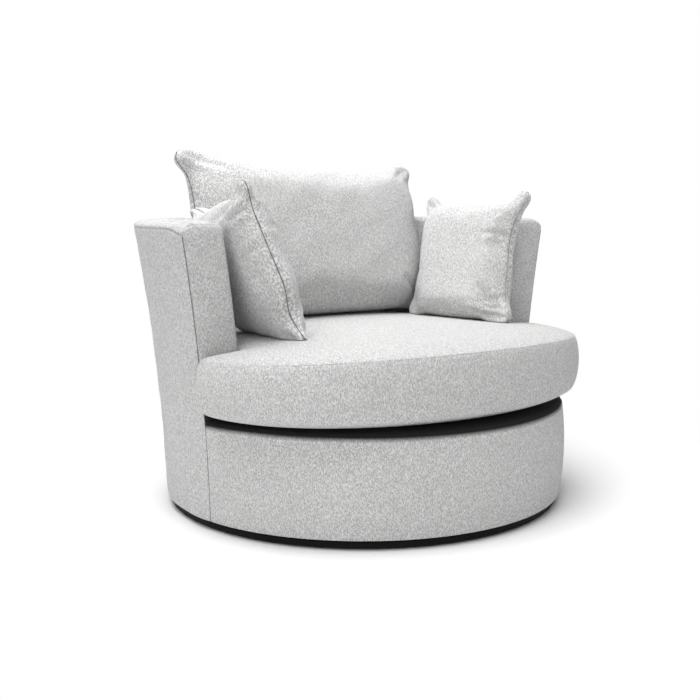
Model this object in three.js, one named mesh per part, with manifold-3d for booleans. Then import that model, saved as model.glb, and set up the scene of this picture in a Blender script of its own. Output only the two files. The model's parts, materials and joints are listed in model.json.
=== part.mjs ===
// A round swivel cuddle chair: a still plinth, a ball-race swivel, a flared upholstered tub on a
// round drum, a T-shaped seat cushion, a large back cushion and two scatter cushions.
// Millimetres, +Z up, the front faces -Y and the floor is at zero.
import * as THREE from 'three';
import { mergeVertices } from 'three/addons/utils/BufferGeometryUtils.js';
import Module from 'manifold-3d';

const wasm = await Module();
wasm.setup();

// Fits between pieces
const seatGap = 0.3;
const overrun = 4;

// Drum and tub: round in plan, flared from the hem to the rim
const drumRadius = 500;
const hemLift = 4;
const rimSeamHeight = 676;
const rimCrown = 18;
const flareLinearShare = 0.037;
const flareSquareShare = 0.089;
const armWidth = 111;
const backWidth = 155;
const tubPower = 2.5;
const armFrontDepth = 77;
const armFrontLean = 13;
const borderBarrel = 9;
const borderRound = 16;
const deckHeight = 254;

// Plinth and its glides
const glideRadius = 14;
const glideHeight = 4;
const glideInset = 70;
const plinthInset = 9;
const plinthThickness = 15;
const plinthChamfer = 1.5;

// Ball-race swivel
const raceInnerRadius = 100;
const raceOuterRadius = 176;
const raceThickness = 6;
const raceSpace = 2.4;
const trackRadius = 128;
const ballRadius = 4.5;
const trackClearance = 0.45;
const cageThickness = 1.2;
const cageWidth = 17;
const raceScrewInset = 14;
const screwShankRadius = 2.2;
const screwHeadRadius = 4.6;
const screwHeadDepth = 2.4;
const screwLength = 15;
const screwSink = 0.4;

// Timber and board frame
const boardThickness = 15;
const boardHoleRadius = 50;
const ribThickness = 18;
const ribDepth = 54;
const ribFootWidth = 96;
const hoopThickness = 15;
const panelThickness = 4;
const railThickness = 9;
const frameRingDrop = 49;
const frameRingThickness = 22;
const frameRingWidth = 84;

// Seat springs and their clips
const springWireRadius = 1.9;
const springHalfWidth = 21;
const springPitch = 36;
const springSpacing = 146;
const clipWidth = 16;
const clipLength = 24;
const clipThickness = 1.5;
const clipSetback = 16;

// Covers and padding
const coverThickness = 3;
const borderPadThickness = 8.4;
const deckPadThickness = 12;

// Seat cushion
const seatFrontHalfWidth = 529;
const seatFrontDepth = 406;
const seatFrontCentre = 84;
const seatTopHeight = 436;
const seatSideDrop = 28;
const seatFrontDrop = 6;
const seatEdgeDrop = 12;
const seatEdgeRise = 25;
const seatEdgeRun = 90;
const seatBulge = 12;
const seatClearance = 3;
const wingCornerRadius = 24;

// Loose cushions, placed by the middle of their lower edge, which settles flat on the seat
const backCushionWidth = 736;
const backCushionHeight = 436;
const backCushionBulge = 106;
const backCushionSetback = 198;
const backCushionOffset = 5;
const scatterWidth = 346;
const scatterHeight = 346;
const scatterBulge = 66;
const leftScatterOffset = 282;
const leftScatterForward = -13;
const leftScatterEarLift = -28;
const leftScatterRake = 34;
const leftScatterTuck = 84;
const topTuckShare = 0.68;
const rightScatterOffset = 293;
const rightScatterForward = 24;
const rightScatterEarLift = 13;
const rightScatterRake = -20;
const rightScatterTuck = -16;
const backCushionEarLift = -10;
const cushionSettle = 7;
const cushionWall = 3;
const cushionEdgeWall = 12;
const fillingGap = 0.7;
const backCushionLean = THREE.MathUtils.degToRad(14);
const leftScatterLean = THREE.MathUtils.degToRad(18.6);
const leftScatterTurn = THREE.MathUtils.degToRad(86.2);
const rightScatterLean = THREE.MathUtils.degToRad(18.2);
const rightScatterTurn = THREE.MathUtils.degToRad(-80.2);
const edgeBowShare = 0.05;
const pillowPower = 0.45;

// Zips
const zipThickness = 4;
const zipHeight = 12;
const zipLengthShare = 0.5;
const zipTuckShare = 0.35;

// Counts
const levelCount = 4;
const borderLevelCount = 3;
const arcSteps = 26;
const armSteps = 2;
const borderSteps = 22;
const discSteps = 52;
const raceSteps = 46;
const trackSteps = 4;
const ballCount = 12;
const ribCount = 5;
const glideCount = 5;
const springCount = 4;
const pillowColumns = 10;
const pillowRows = 8;
const raceScrewCount = 3;
const screwSides = 8;
const glideSides = 12;
const ballSides = 7;
const ballRings = 5;
const rimSteps = 6;
const roundSteps = 2;
const frontSteps = 18;
const seatRearSteps = 10;

// Heights that follow from the stack on the floor
const plinthBottom = glideHeight + seatGap;
const plinthTop = plinthBottom + plinthThickness;
const lowerRaceBottom = plinthTop + seatGap;
const lowerRaceTop = lowerRaceBottom + raceThickness;
const ballHeight = lowerRaceTop + raceSpace / 2;
const upperRaceBottom = lowerRaceTop + raceSpace;
const upperRaceTop = upperRaceBottom + raceThickness;
const boardBottom = upperRaceTop + seatGap;
const boardTop = boardBottom + boardThickness;
const frameFoot = boardTop + seatGap;
const hemHeight = plinthTop + hemLift;
const rimBase = rimSeamHeight + seatGap;
const hoopTop = rimSeamHeight - rimCrown - coverThickness;
const hoopBottom = hoopTop - hoopThickness;
const frameRingBottom = deckHeight - frameRingDrop;
const frameRingTop = frameRingBottom + frameRingThickness;
const deckPadBottom = deckHeight - deckPadThickness;
const deckTop = deckHeight + seatGap;
const railTop = deckHeight - coverThickness - borderPadThickness - 2 * seatGap;
const tubRise = rimSeamHeight - hemHeight;

// Layers of the tub wall, measured in from its outer face
const coverInset = coverThickness + seatGap;
const panelInset = coverInset + panelThickness;
const frameInset = panelInset + seatGap;
const ribInset = frameInset + ribDepth;
const padInset = ribInset + seatGap;

// Shares of the tub's rise
function riseShare(height) {
  return THREE.MathUtils.clamp((height - hemHeight) / tubRise, 0, 1);
}

function flareAt(share) {
  return 1 + flareLinearShare * share + flareSquareShare * share * share;
}

// The outer radius runs straight between shared levels, so nested layers keep their gaps.
function tubRadius(height) {
  const place = riseShare(height) * levelCount;
  const step = Math.min(Math.floor(place), levelCount - 1);
  const low = flareAt(step / levelCount);
  const high = flareAt((step + 1) / levelCount);
  return drumRadius * THREE.MathUtils.lerp(low, high, place - step);
}

// A run of heights from one to another through the shared levels between them
const tubLevels = Array.from({ length: levelCount - 1 }, (unused, i) => (
  hemHeight + (tubRise * (i + 1)) / levelCount
));

function heightsBetween(low, high, levels = tubLevels) {
  return [low, ...levels.filter((height) => height > low && height < high), high];
}

// The arm fronts lean forward as they rise
function facingFront(height) {
  return -(armFrontDepth + armFrontLean * riseShare(height));
}

function facingBack(height) {
  return facingFront(height) + coverThickness;
}

function tubFront(height) {
  return facingBack(height) + seatGap;
}

// Stations along the tub: below 0 the right arm's front, 0 to 1 round the back, above 1 the left arm's
const tubStations = [];
for (let i = armSteps; i > 0; i--) tubStations.push(-i / armSteps);
for (let i = 0; i <= arcSteps; i++) tubStations.push(i / arcSteps);
for (let i = 1; i <= armSteps; i++) tubStations.push(1 + i / armSteps);

function outerPoint(inset, height, station) {
  const radius = tubRadius(height) - inset;
  const start = Math.asin(tubFront(height) / radius);
  let angle = Math.PI * station;
  if (station < 0) angle = -start * station;
  if (station > 1) angle = Math.PI - start * (station - 1);
  return new THREE.Vector3(radius * Math.cos(angle), radius * Math.sin(angle), height);
}

function innerHalfWidth(height) {
  return tubRadius(height) - armWidth;
}

function innerDepth(height) {
  return tubRadius(height) - backWidth;
}

// The inner face runs round the back as a full curve, squarer than an ellipse
function backCurve(halfWidth, depth, station) {
  const across = Math.cos(Math.PI * station);
  const along = Math.max(Math.sin(Math.PI * station), 0);
  return [
    halfWidth * Math.sign(across) * Math.abs(across) ** (2 / tubPower),
    depth * along ** (2 / tubPower),
  ];
}

function innerPoint(inset, height, station) {
  const halfWidth = innerHalfWidth(height) + inset;
  const depth = innerDepth(height) + inset;
  if (station < 0) return new THREE.Vector3(halfWidth, -tubFront(height) * station, height);
  if (station > 1) return new THREE.Vector3(-halfWidth, tubFront(height) * (station - 1), height);
  return new THREE.Vector3(...backCurve(halfWidth, depth, station), height);
}

// Flat triangles of a closed outline, wound as the outline runs
function outlineFaces(outline) {
  const normal = new THREE.Vector3();
  outline.forEach((point, i) => {
    const next = outline[(i + 1) % outline.length];
    normal.add(new THREE.Vector3().crossVectors(point, next));
  });
  normal.normalize();
  const side = Math.abs(normal.z) < Math.SQRT1_2 ? new THREE.Vector3(0, 0, 1) : new THREE.Vector3(1, 0, 0);
  const across = new THREE.Vector3().crossVectors(side, normal).normalize();
  const up = new THREE.Vector3().crossVectors(normal, across);
  const flat = outline.map((point) => new THREE.Vector2(point.dot(across), point.dot(up)));
  return THREE.ShapeUtils.triangulateShape(flat, []).map(([a, b, c]) => {
    const turn = (flat[b].x - flat[a].x) * (flat[c].y - flat[a].y)
      - (flat[c].x - flat[a].x) * (flat[b].y - flat[a].y);
    return turn > 0 ? [a, b, c] : [a, c, b];
  });
}

// A closed mesh through a row of rings. Each quad is split from its lower corner on the first ring,
// so nested layers are split alike. A ring of one point closes an end as a fan.
function loft(rings, closed = false) {
  const points = rings.flat();
  const starts = [];
  const faces = [];
  rings.reduce((count, ring) => {
    starts.push(count);
    return count + ring.length;
  }, 0);
  const spans = closed ? rings.length : rings.length - 1;
  for (let i = 0; i < spans; i++) {
    const next = (i + 1) % rings.length;
    const low = starts[i];
    const high = starts[next];
    const count = Math.max(rings[i].length, rings[next].length);
    for (let j = 0; j < count; j++) {
      const k = (j + 1) % count;
      const [a, b] = rings[i].length > 1 ? [low + j, low + k] : [low, low];
      const [d, c] = rings[next].length > 1 ? [high + j, high + k] : [high, high];
      if (a === b) faces.push([a, c, d]);
      else if (c === d) faces.push([a, b, c]);
      else if (points[a].z > points[b].z) faces.push([a, b, d], [b, c, d]);
      else faces.push([a, b, c], [a, c, d]);
    }
  }
  const last = rings.length - 1;
  if (!closed && rings[0].length > 1) {
    outlineFaces(rings[0]).forEach(([a, b, c]) => faces.push([a, c, b].map((n) => n + starts[0])));
  }
  if (!closed && rings[last].length > 1) {
    outlineFaces(rings[last]).forEach((face) => faces.push(face.map((n) => n + starts[last])));
  }
  const geometry = new THREE.BufferGeometry().setFromPoints(points);
  geometry.setIndex(faces.flat());
  return outward(geometry);
}

// Welded positions only, with the faces turned outward
function outward(source) {
  let geometry = source.clone();
  geometry.deleteAttribute('normal');
  geometry.deleteAttribute('uv');
  geometry = mergeVertices(geometry);
  const position = geometry.getAttribute('position');
  const index = Array.from(geometry.getIndex().array);
  const [a, b, c] = [0, 0, 0].map(() => new THREE.Vector3());
  let volume = 0;
  for (let i = 0; i < index.length; i += 3) {
    a.fromBufferAttribute(position, index[i]);
    b.fromBufferAttribute(position, index[i + 1]);
    c.fromBufferAttribute(position, index[i + 2]);
    volume += a.dot(b.cross(c));
  }
  if (volume < 0) index.reverse();
  geometry.setIndex(index);
  return geometry;
}

function solidOf(geometry) {
  return new wasm.Manifold(new wasm.Mesh({
    numProp: 3,
    vertProperties: geometry.getAttribute('position').array,
    triVerts: Uint32Array.from(geometry.getIndex().array),
  }));
}

function geometryOf(solid) {
  const mesh = solid.getMesh();
  const geometry = new THREE.BufferGeometry();
  geometry.setAttribute('position', new THREE.BufferAttribute(mesh.vertProperties, 3));
  geometry.setIndex(Array.from(mesh.triVerts));
  return geometry;
}

function cut(geometry, tools) {
  return geometryOf(tools.reduce((solid, tool) => solid.subtract(solidOf(tool)), solidOf(geometry)));
}

// A turned piece about the swivel axis from a closed profile of [radius, height]
function turned(profile, steps) {
  const points = profile.map(([radius, height]) => new THREE.Vector2(radius, height));
  return outward(new THREE.LatheGeometry(points, steps).rotateX(Math.PI / 2));
}

function closedProfile(profile) {
  return [...profile, profile[0]];
}

function circlePoint(radius, share) {
  const angle = 2 * Math.PI * share;
  return new THREE.Vector3(radius * Math.cos(angle), radius * Math.sin(angle), 0);
}

// Materials
const finishes = {
  fabric: { color: 0xc9c9c8, roughness: 0.95, metalness: 0 },
  platform: { color: 0x1b1b1c, roughness: 0.95, metalness: 0 },
  plinth: { color: 0x151516, roughness: 0.6, metalness: 0 },
  glide: { color: 0x3a3a3a, roughness: 0.7, metalness: 0 },
  steel: { color: 0x8f9296, roughness: 0.4, metalness: 1 },
  timber: { color: 0xc8a878, roughness: 0.8, metalness: 0 },
  panel: { color: 0x9a7350, roughness: 0.9, metalness: 0 },
  foam: { color: 0xe6dcae, roughness: 0.95, metalness: 0 },
  fibre: { color: 0xf2f2f0, roughness: 0.98, metalness: 0 },
  zip: { color: 0x9b9b9b, roughness: 0.6, metalness: 0 },
};

const chair = new THREE.Group();

function place(name, geometry, finish) {
  const material = new THREE.MeshStandardMaterial(finishes[finish]);
  geometry.computeVertexNormals();
  const mesh = new THREE.Mesh(geometry, material);
  mesh.name = name;
  chair.add(mesh);
}

// Screws of the races: countersunk, head up at height zero. A grown one is the hole that it needs.
function screwShape(grow) {
  const profile = [
    [0, -screwLength - grow],
    [screwShankRadius + grow, -screwLength - grow],
    [screwShankRadius + grow, -screwHeadDepth],
    [screwHeadRadius + grow, 0],
  ];
  if (grow) profile.push([screwHeadRadius + grow, overrun]);
  return turned([...profile, [0, grow ? overrun : 0]], screwSides);
}

function placedScrews(grow, upward) {
  const share = upward ? 1 / (2 * raceScrewCount) : 0;
  const height = upward ? upperRaceBottom + screwSink : lowerRaceTop - screwSink;
  return Array.from({ length: raceScrewCount }, (unused, i) => {
    const spot = circlePoint(raceOuterRadius - raceScrewInset, i / raceScrewCount + share);
    const shape = screwShape(grow);
    if (upward) shape.rotateX(Math.PI);
    return shape.translate(spot.x, spot.y, height);
  });
}

function screwHoles(upward) {
  return placedScrews(seatGap, upward);
}

// Plinth and glides
function plinthDisc() {
  const radius = drumRadius - plinthInset;
  const disc = turned([
    [0, plinthBottom],
    [radius - plinthChamfer, plinthBottom],
    [radius, plinthBottom + plinthChamfer],
    [radius, plinthTop - plinthChamfer],
    [radius - plinthChamfer, plinthTop],
    [0, plinthTop],
  ], discSteps);
  return cut(disc, screwHoles(false));
}

function addPlinth() {
  place('plinth_disc', plinthDisc(), 'plinth');
  for (let i = 0; i < glideCount; i++) {
    const spot = circlePoint(drumRadius - glideInset, i / glideCount - 1 / 4);
    const glide = new THREE.CylinderGeometry(glideRadius, glideRadius, glideHeight, glideSides);
    glide.rotateX(Math.PI / 2).translate(spot.x, spot.y, glideHeight / 2);
    place(`floor_glide_${i + 1}`, outward(glide), 'glide');
  }
}

// The race's groove, as profile points that lie on the ball's path
function trackProfile(towards) {
  const radius = ballRadius + trackClearance;
  const edge = Math.acos(raceSpace / 2 / radius);
  return Array.from({ length: trackSteps + 1 }, (unused, i) => {
    const angle = THREE.MathUtils.lerp(edge, -edge, i / trackSteps);
    return [trackRadius + radius * Math.sin(angle), ballHeight + towards * radius * Math.cos(angle)];
  });
}

function race(outerHeight, innerHeight, towards) {
  return turned(closedProfile([
    [raceInnerRadius, outerHeight],
    [raceOuterRadius, outerHeight],
    [raceOuterRadius, innerHeight],
    ...trackProfile(towards),
    [raceInnerRadius, innerHeight],
  ]), raceSteps);
}

function ballCage() {
  const low = ballHeight - cageThickness / 2;
  const high = ballHeight + cageThickness / 2;
  const ring = turned(closedProfile([
    [trackRadius - cageWidth / 2, low],
    [trackRadius + cageWidth / 2, low],
    [trackRadius + cageWidth / 2, high],
    [trackRadius - cageWidth / 2, high],
  ]), raceSteps);
  let solid = solidOf(ring);
  for (let i = 0; i < ballCount; i++) {
    const spot = circlePoint(trackRadius, i / ballCount);
    const ball = new THREE.SphereGeometry(ballRadius, ballSides, ballRings);
    ball.translate(spot.x, spot.y, ballHeight);
    solid = solid.add(solidOf(outward(ball)));
  }
  return geometryOf(solid);
}

function addSwivel() {
  const lower = race(lowerRaceBottom, lowerRaceTop, -1);
  const upper = race(upperRaceTop, upperRaceBottom, 1);
  place('swivel_lower_race', cut(lower, screwHoles(false)), 'steel');
  place('swivel_upper_race', cut(upper, screwHoles(true)), 'steel');
  place('swivel_ball_cage', ballCage(), 'steel');
  placedScrews(0, false).forEach((screw, i) => place(`plinth_screw_${i + 1}`, screw, 'steel'));
  placedScrews(0, true).forEach((screw, i) => place(`board_screw_${i + 1}`, screw, 'steel'));
}

// Base board
function addBaseBoard() {
  const board = turned(closedProfile([
    [boardHoleRadius, boardBottom],
    [drumRadius - frameInset, boardBottom],
    [drumRadius - frameInset, boardTop],
    [boardHoleRadius, boardTop],
  ]), discSteps);
  place('base_board', cut(board, screwHoles(true)), 'timber');
}

// Ribs stand on the board. A shoulder at the foot carries the seat frame.
const ribTop = hoopBottom - seatGap;
const shoulderHeight = frameRingBottom - seatGap;
const ribFacetGap = (ribThickness / 2) * Math.tan(Math.PI / arcSteps / 2);

function ribOutline(outerAt, grow) {
  const outer = heightsBetween(frameFoot - grow, ribTop).map((height) => [outerAt(height) + grow, height]);
  const inner = heightsBetween(shoulderHeight + grow, ribTop).map((height) => [
    tubRadius(height) - ribInset - grow,
    height,
  ]);
  const foot = outerAt(frameFoot) - ribFootWidth - grow;
  return [...outer, ...inner.reverse(), [foot, shoulderHeight + grow], [foot, frameFoot - grow]];
}

function ribAngle(index) {
  return (Math.PI * Math.round((arcSteps * (index + 1 / 2)) / ribCount)) / arcSteps;
}

function rib(index, grow) {
  const outline = ribOutline((height) => tubRadius(height) - frameInset - ribFacetGap, grow);
  const half = ribThickness / 2 + grow;
  const turn = new THREE.Matrix4().makeRotationZ(ribAngle(index));
  return loft([-half, half].map((side) => outline.map(([radius, height]) => (
    new THREE.Vector3(radius, side, height).applyMatrix4(turn)
  ))));
}

// The boards behind the arm facings follow the ribs' outline and lean with the arm fronts.
function armFrontBoard(side, grow) {
  const outline = ribOutline((height) => {
    const radius = tubRadius(height) - frameInset;
    return Math.sqrt(radius * radius - tubFront(height) * tubFront(height));
  }, grow);
  return loft([-grow, ribThickness + grow].map((depth) => outline.map(([reach, height]) => (
    new THREE.Vector3(side * reach, tubFront(height) + depth, height)
  ))));
}

function tubShell(section) {
  return loft(tubStations.map((station) => section.map((corner) => corner(station))));
}

const outer = (inset, height) => (station) => outerPoint(inset, height, station);
const inner = (inset, height) => (station) => innerPoint(inset, height, station);

function addTubFrame() {
  for (let i = 0; i < ribCount; i++) place(`tub_rib_${i + 1}`, rib(i, 0), 'timber');
  place('arm_front_board_left', armFrontBoard(-1, 0), 'timber');
  place('arm_front_board_right', armFrontBoard(1, 0), 'timber');
  place('rim_former', tubShell([
    outer(frameInset, hoopBottom),
    outer(frameInset, hoopTop),
    outer(ribInset, hoopTop),
    outer(ribInset, hoopBottom),
  ]), 'timber');
}

// The drum's front below the seat: round, slightly barrelled, running into the flare at both arms
const railInset = coverInset + borderPadThickness + seatGap;
const railOuterRadius = drumRadius - railInset;
const railInnerRadius = railOuterRadius - railThickness;
const deckPadRadius = (tubRadius(deckPadBottom) - ribInset) * Math.cos(Math.PI / discSteps) - seatGap;
const lipRadius = (deckPadRadius + seatGap) / Math.cos(Math.PI / borderSteps / 2);
const borderEndPower = 6;

const borderEdge = deckHeight - borderRound;
const borderNodes = Array.from({ length: borderLevelCount + 1 }, (unused, i) => (
  THREE.MathUtils.lerp(hemHeight, borderEdge, i / borderLevelCount)
));
const borderLevels = [frameFoot, ...borderNodes, ...tubLevels].sort((low, high) => low - high);

function barrelAt(height) {
  const place = (borderLevelCount * (height - hemHeight)) / (borderEdge - hemHeight);
  const step = THREE.MathUtils.clamp(Math.floor(place), 0, borderLevelCount - 1);
  const [low, high] = [step, step + 1].map((i) => Math.sin((Math.PI * i) / borderLevelCount));
  return borderBarrel * THREE.MathUtils.lerp(low, high, Math.min(place - step, 1));
}

function borderRadius(height, station) {
  const level = Math.min(height, borderEdge);
  const end = Math.abs(2 * station - 1) ** borderEndPower;
  return THREE.MathUtils.lerp(drumRadius + barrelAt(level), tubRadius(level), end);
}

function borderPoint(radius, height, station) {
  const start = Math.asin(facingBack(height) / radius);
  const angle = start - (Math.PI + 2 * start) * station;
  return new THREE.Vector3(radius * Math.cos(angle), radius * Math.sin(angle), height);
}

const skin = (inset, height) => (station) => (
  borderPoint(borderRadius(height, station) - inset, height, station)
);
const fixed = (radius, height) => (station) => borderPoint(radius, height, station);

function borderShell(section) {
  const stations = Array.from({ length: borderSteps + 1 }, (unused, i) => i / borderSteps);
  return loft(stations.map((station) => section.map((corner) => corner(station))));
}

// The border's face from a height up, and over the rounded edge to its top
function borderFace(inset, from) {
  const radius = borderRound - inset;
  const face = heightsBetween(from, borderEdge, borderLevels).map((height) => skin(inset, height));
  for (let i = 1; i <= roundSteps; i++) {
    const angle = ((Math.PI / 2) * i) / roundSteps;
    const height = borderEdge + radius * Math.sin(angle);
    face.push(skin(borderRound - radius * Math.cos(angle), height));
  }
  return face;
}

function addBorder() {
  place('front_rail', borderShell([
    fixed(railOuterRadius, frameFoot),
    fixed(railOuterRadius, railTop),
    fixed(railInnerRadius, railTop),
    fixed(railInnerRadius, frameFoot),
  ]), 'timber');
  place('front_border_padding', borderShell([
    ...borderFace(coverInset, frameFoot),
    fixed(lipRadius, deckHeight - coverInset),
    fixed(lipRadius, railTop + seatGap),
    fixed(railOuterRadius + seatGap, railTop + seatGap),
    fixed(railOuterRadius + seatGap, frameFoot),
  ]), 'foam');
  place('front_border_cover', borderShell([
    ...borderFace(0, hemHeight),
    fixed(lipRadius, deckHeight),
    fixed(lipRadius, deckHeight - coverThickness),
    ...borderFace(coverThickness, hemHeight).reverse(),
  ]), 'fabric');
}

// Seat frame, springs, clips and deck
const frameRingRadius = railInnerRadius * Math.cos(Math.PI / borderSteps / 2) - seatGap;
const frameRingInner = frameRingRadius - frameRingWidth;
const clipFloor = frameRingTop + seatGap;
const springBase = clipFloor + clipThickness + seatGap + springWireRadius;
const springCrest = deckPadBottom - seatGap - springWireRadius;

function seatFrame() {
  const ring = turned(closedProfile([
    [frameRingInner, frameRingBottom],
    [frameRingRadius, frameRingBottom],
    [frameRingRadius, frameRingTop],
    [frameRingInner, frameRingTop],
  ]), discSteps);
  const ribs = Array.from({ length: ribCount }, (unused, i) => rib(i, seatGap));
  return cut(ring, [...ribs, armFrontBoard(-1, seatGap), armFrontBoard(1, seatGap)]);
}

function springPlace(index) {
  const across = springSpacing * (index - (springCount - 1) / 2);
  const reach = Math.sqrt((frameRingInner + clipSetback) ** 2 - across * across);
  return { across, reach };
}

// A sinuous spring: bars across the seat joined by bends, arched from clip to clip
function sinuousSpring(index) {
  const { across, reach } = springPlace(index);
  const bars = 2 * Math.round(reach / springPitch) + 1;
  const pitch = (2 * reach) / (bars - 1);
  const bend = pitch / 3;
  const path = [];
  for (let i = 0; i < bars; i++) {
    const side = i % 2 ? -1 : 1;
    const along = -reach + pitch * i;
    path.push([-side * (springHalfWidth - (i ? bend : 0)), along]);
    path.push([side * (springHalfWidth - (i < bars - 1 ? bend : 0)), along]);
    if (i < bars - 1) path.push([side * springHalfWidth, along + pitch / 2]);
  }
  const centre = path.map(([x, y]) => {
    const arch = Math.cos((Math.PI / 2) * THREE.MathUtils.clamp(y / reach, -1, 1));
    return new THREE.Vector3(across + x, y, THREE.MathUtils.lerp(springBase, springCrest, arch));
  });
  return wire(centre, springWireRadius);
}

// A square wire along a path that stays near level, mitred at each point
function wire(centre, radius) {
  const up = new THREE.Vector3(0, 0, 1);
  return loft(centre.map((point, i) => {
    const before = centre[Math.max(i - 1, 0)];
    const after = centre[Math.min(i + 1, centre.length - 1)];
    const arriving = point.clone().sub(i ? before : after).multiplyScalar(i ? 1 : -1).normalize();
    const leaving = after.clone().sub(point).normalize();
    const along = arriving.clone().add(i < centre.length - 1 ? leaving : arriving).normalize();
    const side = new THREE.Vector3().crossVectors(up, along).normalize();
    const mitre = 1 / Math.max(along.dot(arriving), 1 / 2);
    return [[1, 0], [0, 1], [-1, 0], [0, -1]].map(([x, z]) => (
      point.clone().addScaledVector(side, x * radius * mitre).addScaledVector(up, z * radius)
    ));
  }));
}

// A clip: a plate on the frame with a hook over the spring's end bar, open away from the seat
function springClip(index, end) {
  const { across, reach } = springPlace(index);
  const inside = springWireRadius + seatGap;
  const floor = clipThickness;
  const roof = floor + 2 * inside;
  const outline = new THREE.Shape();
  outline.moveTo(-inside - clipThickness, 0);
  outline.lineTo(clipLength - inside - clipThickness, 0);
  outline.lineTo(clipLength - inside - clipThickness, floor);
  outline.lineTo(-inside, floor);
  outline.lineTo(-inside, roof);
  outline.lineTo(inside, roof);
  outline.lineTo(inside, roof + clipThickness);
  outline.lineTo(-inside - clipThickness, roof + clipThickness);
  const clip = new THREE.ExtrudeGeometry(outline, { depth: clipWidth, bevelEnabled: false });
  clip.translate(0, 0, -clipWidth / 2).rotateX(Math.PI / 2).rotateZ((end * Math.PI) / 2);
  return outward(clip.translate(across, end * reach, clipFloor));
}

function addSeatSuspension() {
  place('seat_frame', seatFrame(), 'timber');
  for (let i = 0; i < springCount; i++) {
    place(`seat_spring_${i + 1}`, sinuousSpring(i), 'steel');
    place(`spring_clip_front_${i + 1}`, springClip(i, -1), 'steel');
    place(`spring_clip_rear_${i + 1}`, springClip(i, 1), 'steel');
  }
  place('deck_pad', turned([
    [0, deckPadBottom],
    [deckPadRadius, deckPadBottom],
    [deckPadRadius, deckHeight],
    [0, deckHeight],
  ], discSteps), 'platform');
}

// Crowned rim: a rounded arch from the outer seam to the inner face, inset by its layer
const rimPower = 2.6;

function rimArch(inset, from, to) {
  return Array.from({ length: rimSteps + 1 }, (unused, i) => {
    const angle = (Math.PI * i) / rimSteps;
    const across = Math.sign(Math.cos(angle)) * Math.abs(Math.cos(angle)) ** (2 / rimPower);
    const rise = Math.max(Math.sin(angle), 0) ** (2 / rimPower);
    return (station) => {
      const point = from(station).lerp(to(station), (1 - across) / 2);
      point.z = rimBase + (rimCrown - inset) * rise;
      return point;
    };
  });
}

function tubArch(inset) {
  return rimArch(inset, outer(inset, rimBase), inner(inset, rimBase));
}

function innerFace(inset, low, high) {
  return heightsBetween(low, high).reverse().map((height) => inner(inset, height));
}

function outerFace(inset, low, high) {
  return heightsBetween(low, high).map((height) => outer(inset, height));
}

// One arm facing: the wall's section between its outer and inner faces, as a flat leaning panel
function armFacing(side) {
  const edge = (reachAt) => (height) => (
    new THREE.Vector3(side * reachAt(height), facingFront(height), height)
  );
  const outerEdge = edge((height) => Math.sqrt(tubRadius(height) ** 2 - facingFront(height) ** 2));
  const innerEdge = edge(innerHalfWidth);
  const arch = rimArch(0, () => outerEdge(rimBase), () => innerEdge(rimBase)).map((corner) => corner(0));
  const outline = [
    ...heightsBetween(deckTop, rimSeamHeight).slice(0, -1).map(outerEdge),
    ...arch,
    ...heightsBetween(deckTop, rimSeamHeight).slice(0, -1).reverse().map(innerEdge),
  ];
  const back = outline.map((point) => point.clone().setY(point.y + coverThickness));
  return loft([outline, back]);
}

function addTubCovers() {
  place('outside_panel', tubShell([
    ...outerFace(coverInset, boardBottom, hoopTop),
    ...outerFace(panelInset, boardBottom, hoopTop).reverse(),
  ]), 'panel');
  place('outside_cover', tubShell([
    ...outerFace(0, hemHeight, rimSeamHeight),
    ...outerFace(coverThickness, hemHeight, rimSeamHeight).reverse(),
  ]), 'fabric');
  place('tub_padding', tubShell([
    ...outerFace(padInset, deckTop, ribTop),
    ...innerFace(coverInset, deckTop, ribTop),
  ]), 'foam');
  place('rim_padding', tubShell([
    outer(coverInset, hoopTop + seatGap),
    ...tubArch(coverInset),
    ...innerFace(coverInset, hoopBottom, rimSeamHeight).slice(1),
    outer(padInset, hoopBottom),
    outer(padInset, hoopTop + seatGap),
  ]), 'foam');
  place('inside_cover', tubShell([
    ...tubArch(0),
    ...innerFace(0, deckTop, rimSeamHeight).slice(1),
    ...innerFace(coverThickness, deckTop, rimSeamHeight).slice(1).reverse(),
    ...tubArch(coverThickness).reverse(),
  ]), 'fabric');
  place('arm_facing_left', armFacing(-1), 'fabric');
  place('arm_facing_right', armFacing(1), 'fabric');
}

// Seat cushion. Its top is a low dome that drops to a seam round the edge.
function seatDome(x, y) {
  const across = x / seatFrontHalfWidth;
  const along = (y + seatFrontCentre) / seatFrontDepth;
  return seatTopHeight - seatSideDrop * across * across - seatFrontDrop * along * along;
}

// The T outline, drawn in by an inset and grown at its free front by a bulge
const wingRearDepth = -facingFront(rimBase) + seatClearance;

function seatOutline(inset, bulge, height) {
  const halfWidth = seatFrontHalfWidth + bulge - inset;
  const depth = seatFrontDepth + bulge - inset;
  const wing = -wingRearDepth - inset;
  const sideReach = innerHalfWidth(height) - seatClearance - inset;
  const rearReach = innerDepth(height) - seatClearance - inset;
  const corner = Math.max(wingCornerRadius - inset, wingCornerRadius / 4);
  const start = Math.asin((corner - wing - seatFrontCentre) / depth);
  const points = [];
  for (let i = 0; i <= frontSteps; i++) {
    const angle = -start - ((Math.PI - 2 * start) * i) / frontSteps;
    points.push([halfWidth * Math.cos(angle), depth * Math.sin(angle) - seatFrontCentre]);
  }
  const tip = points[frontSteps][0];
  points.push([tip + corner * (1 - Math.SQRT1_2), wing - corner * (1 - Math.SQRT1_2)]);
  points.push([tip + corner, wing]);
  points.push([-sideReach, wing]);
  for (let i = seatRearSteps; i >= 0; i--) {
    points.push(backCurve(sideReach, rearReach, i / seatRearSteps));
  }
  points.push([sideReach, wing]);
  points.push([-tip - corner, wing]);
  points.push([-tip - corner * (1 - Math.SQRT1_2), wing - corner * (1 - Math.SQRT1_2)]);
  return points;
}

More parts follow.
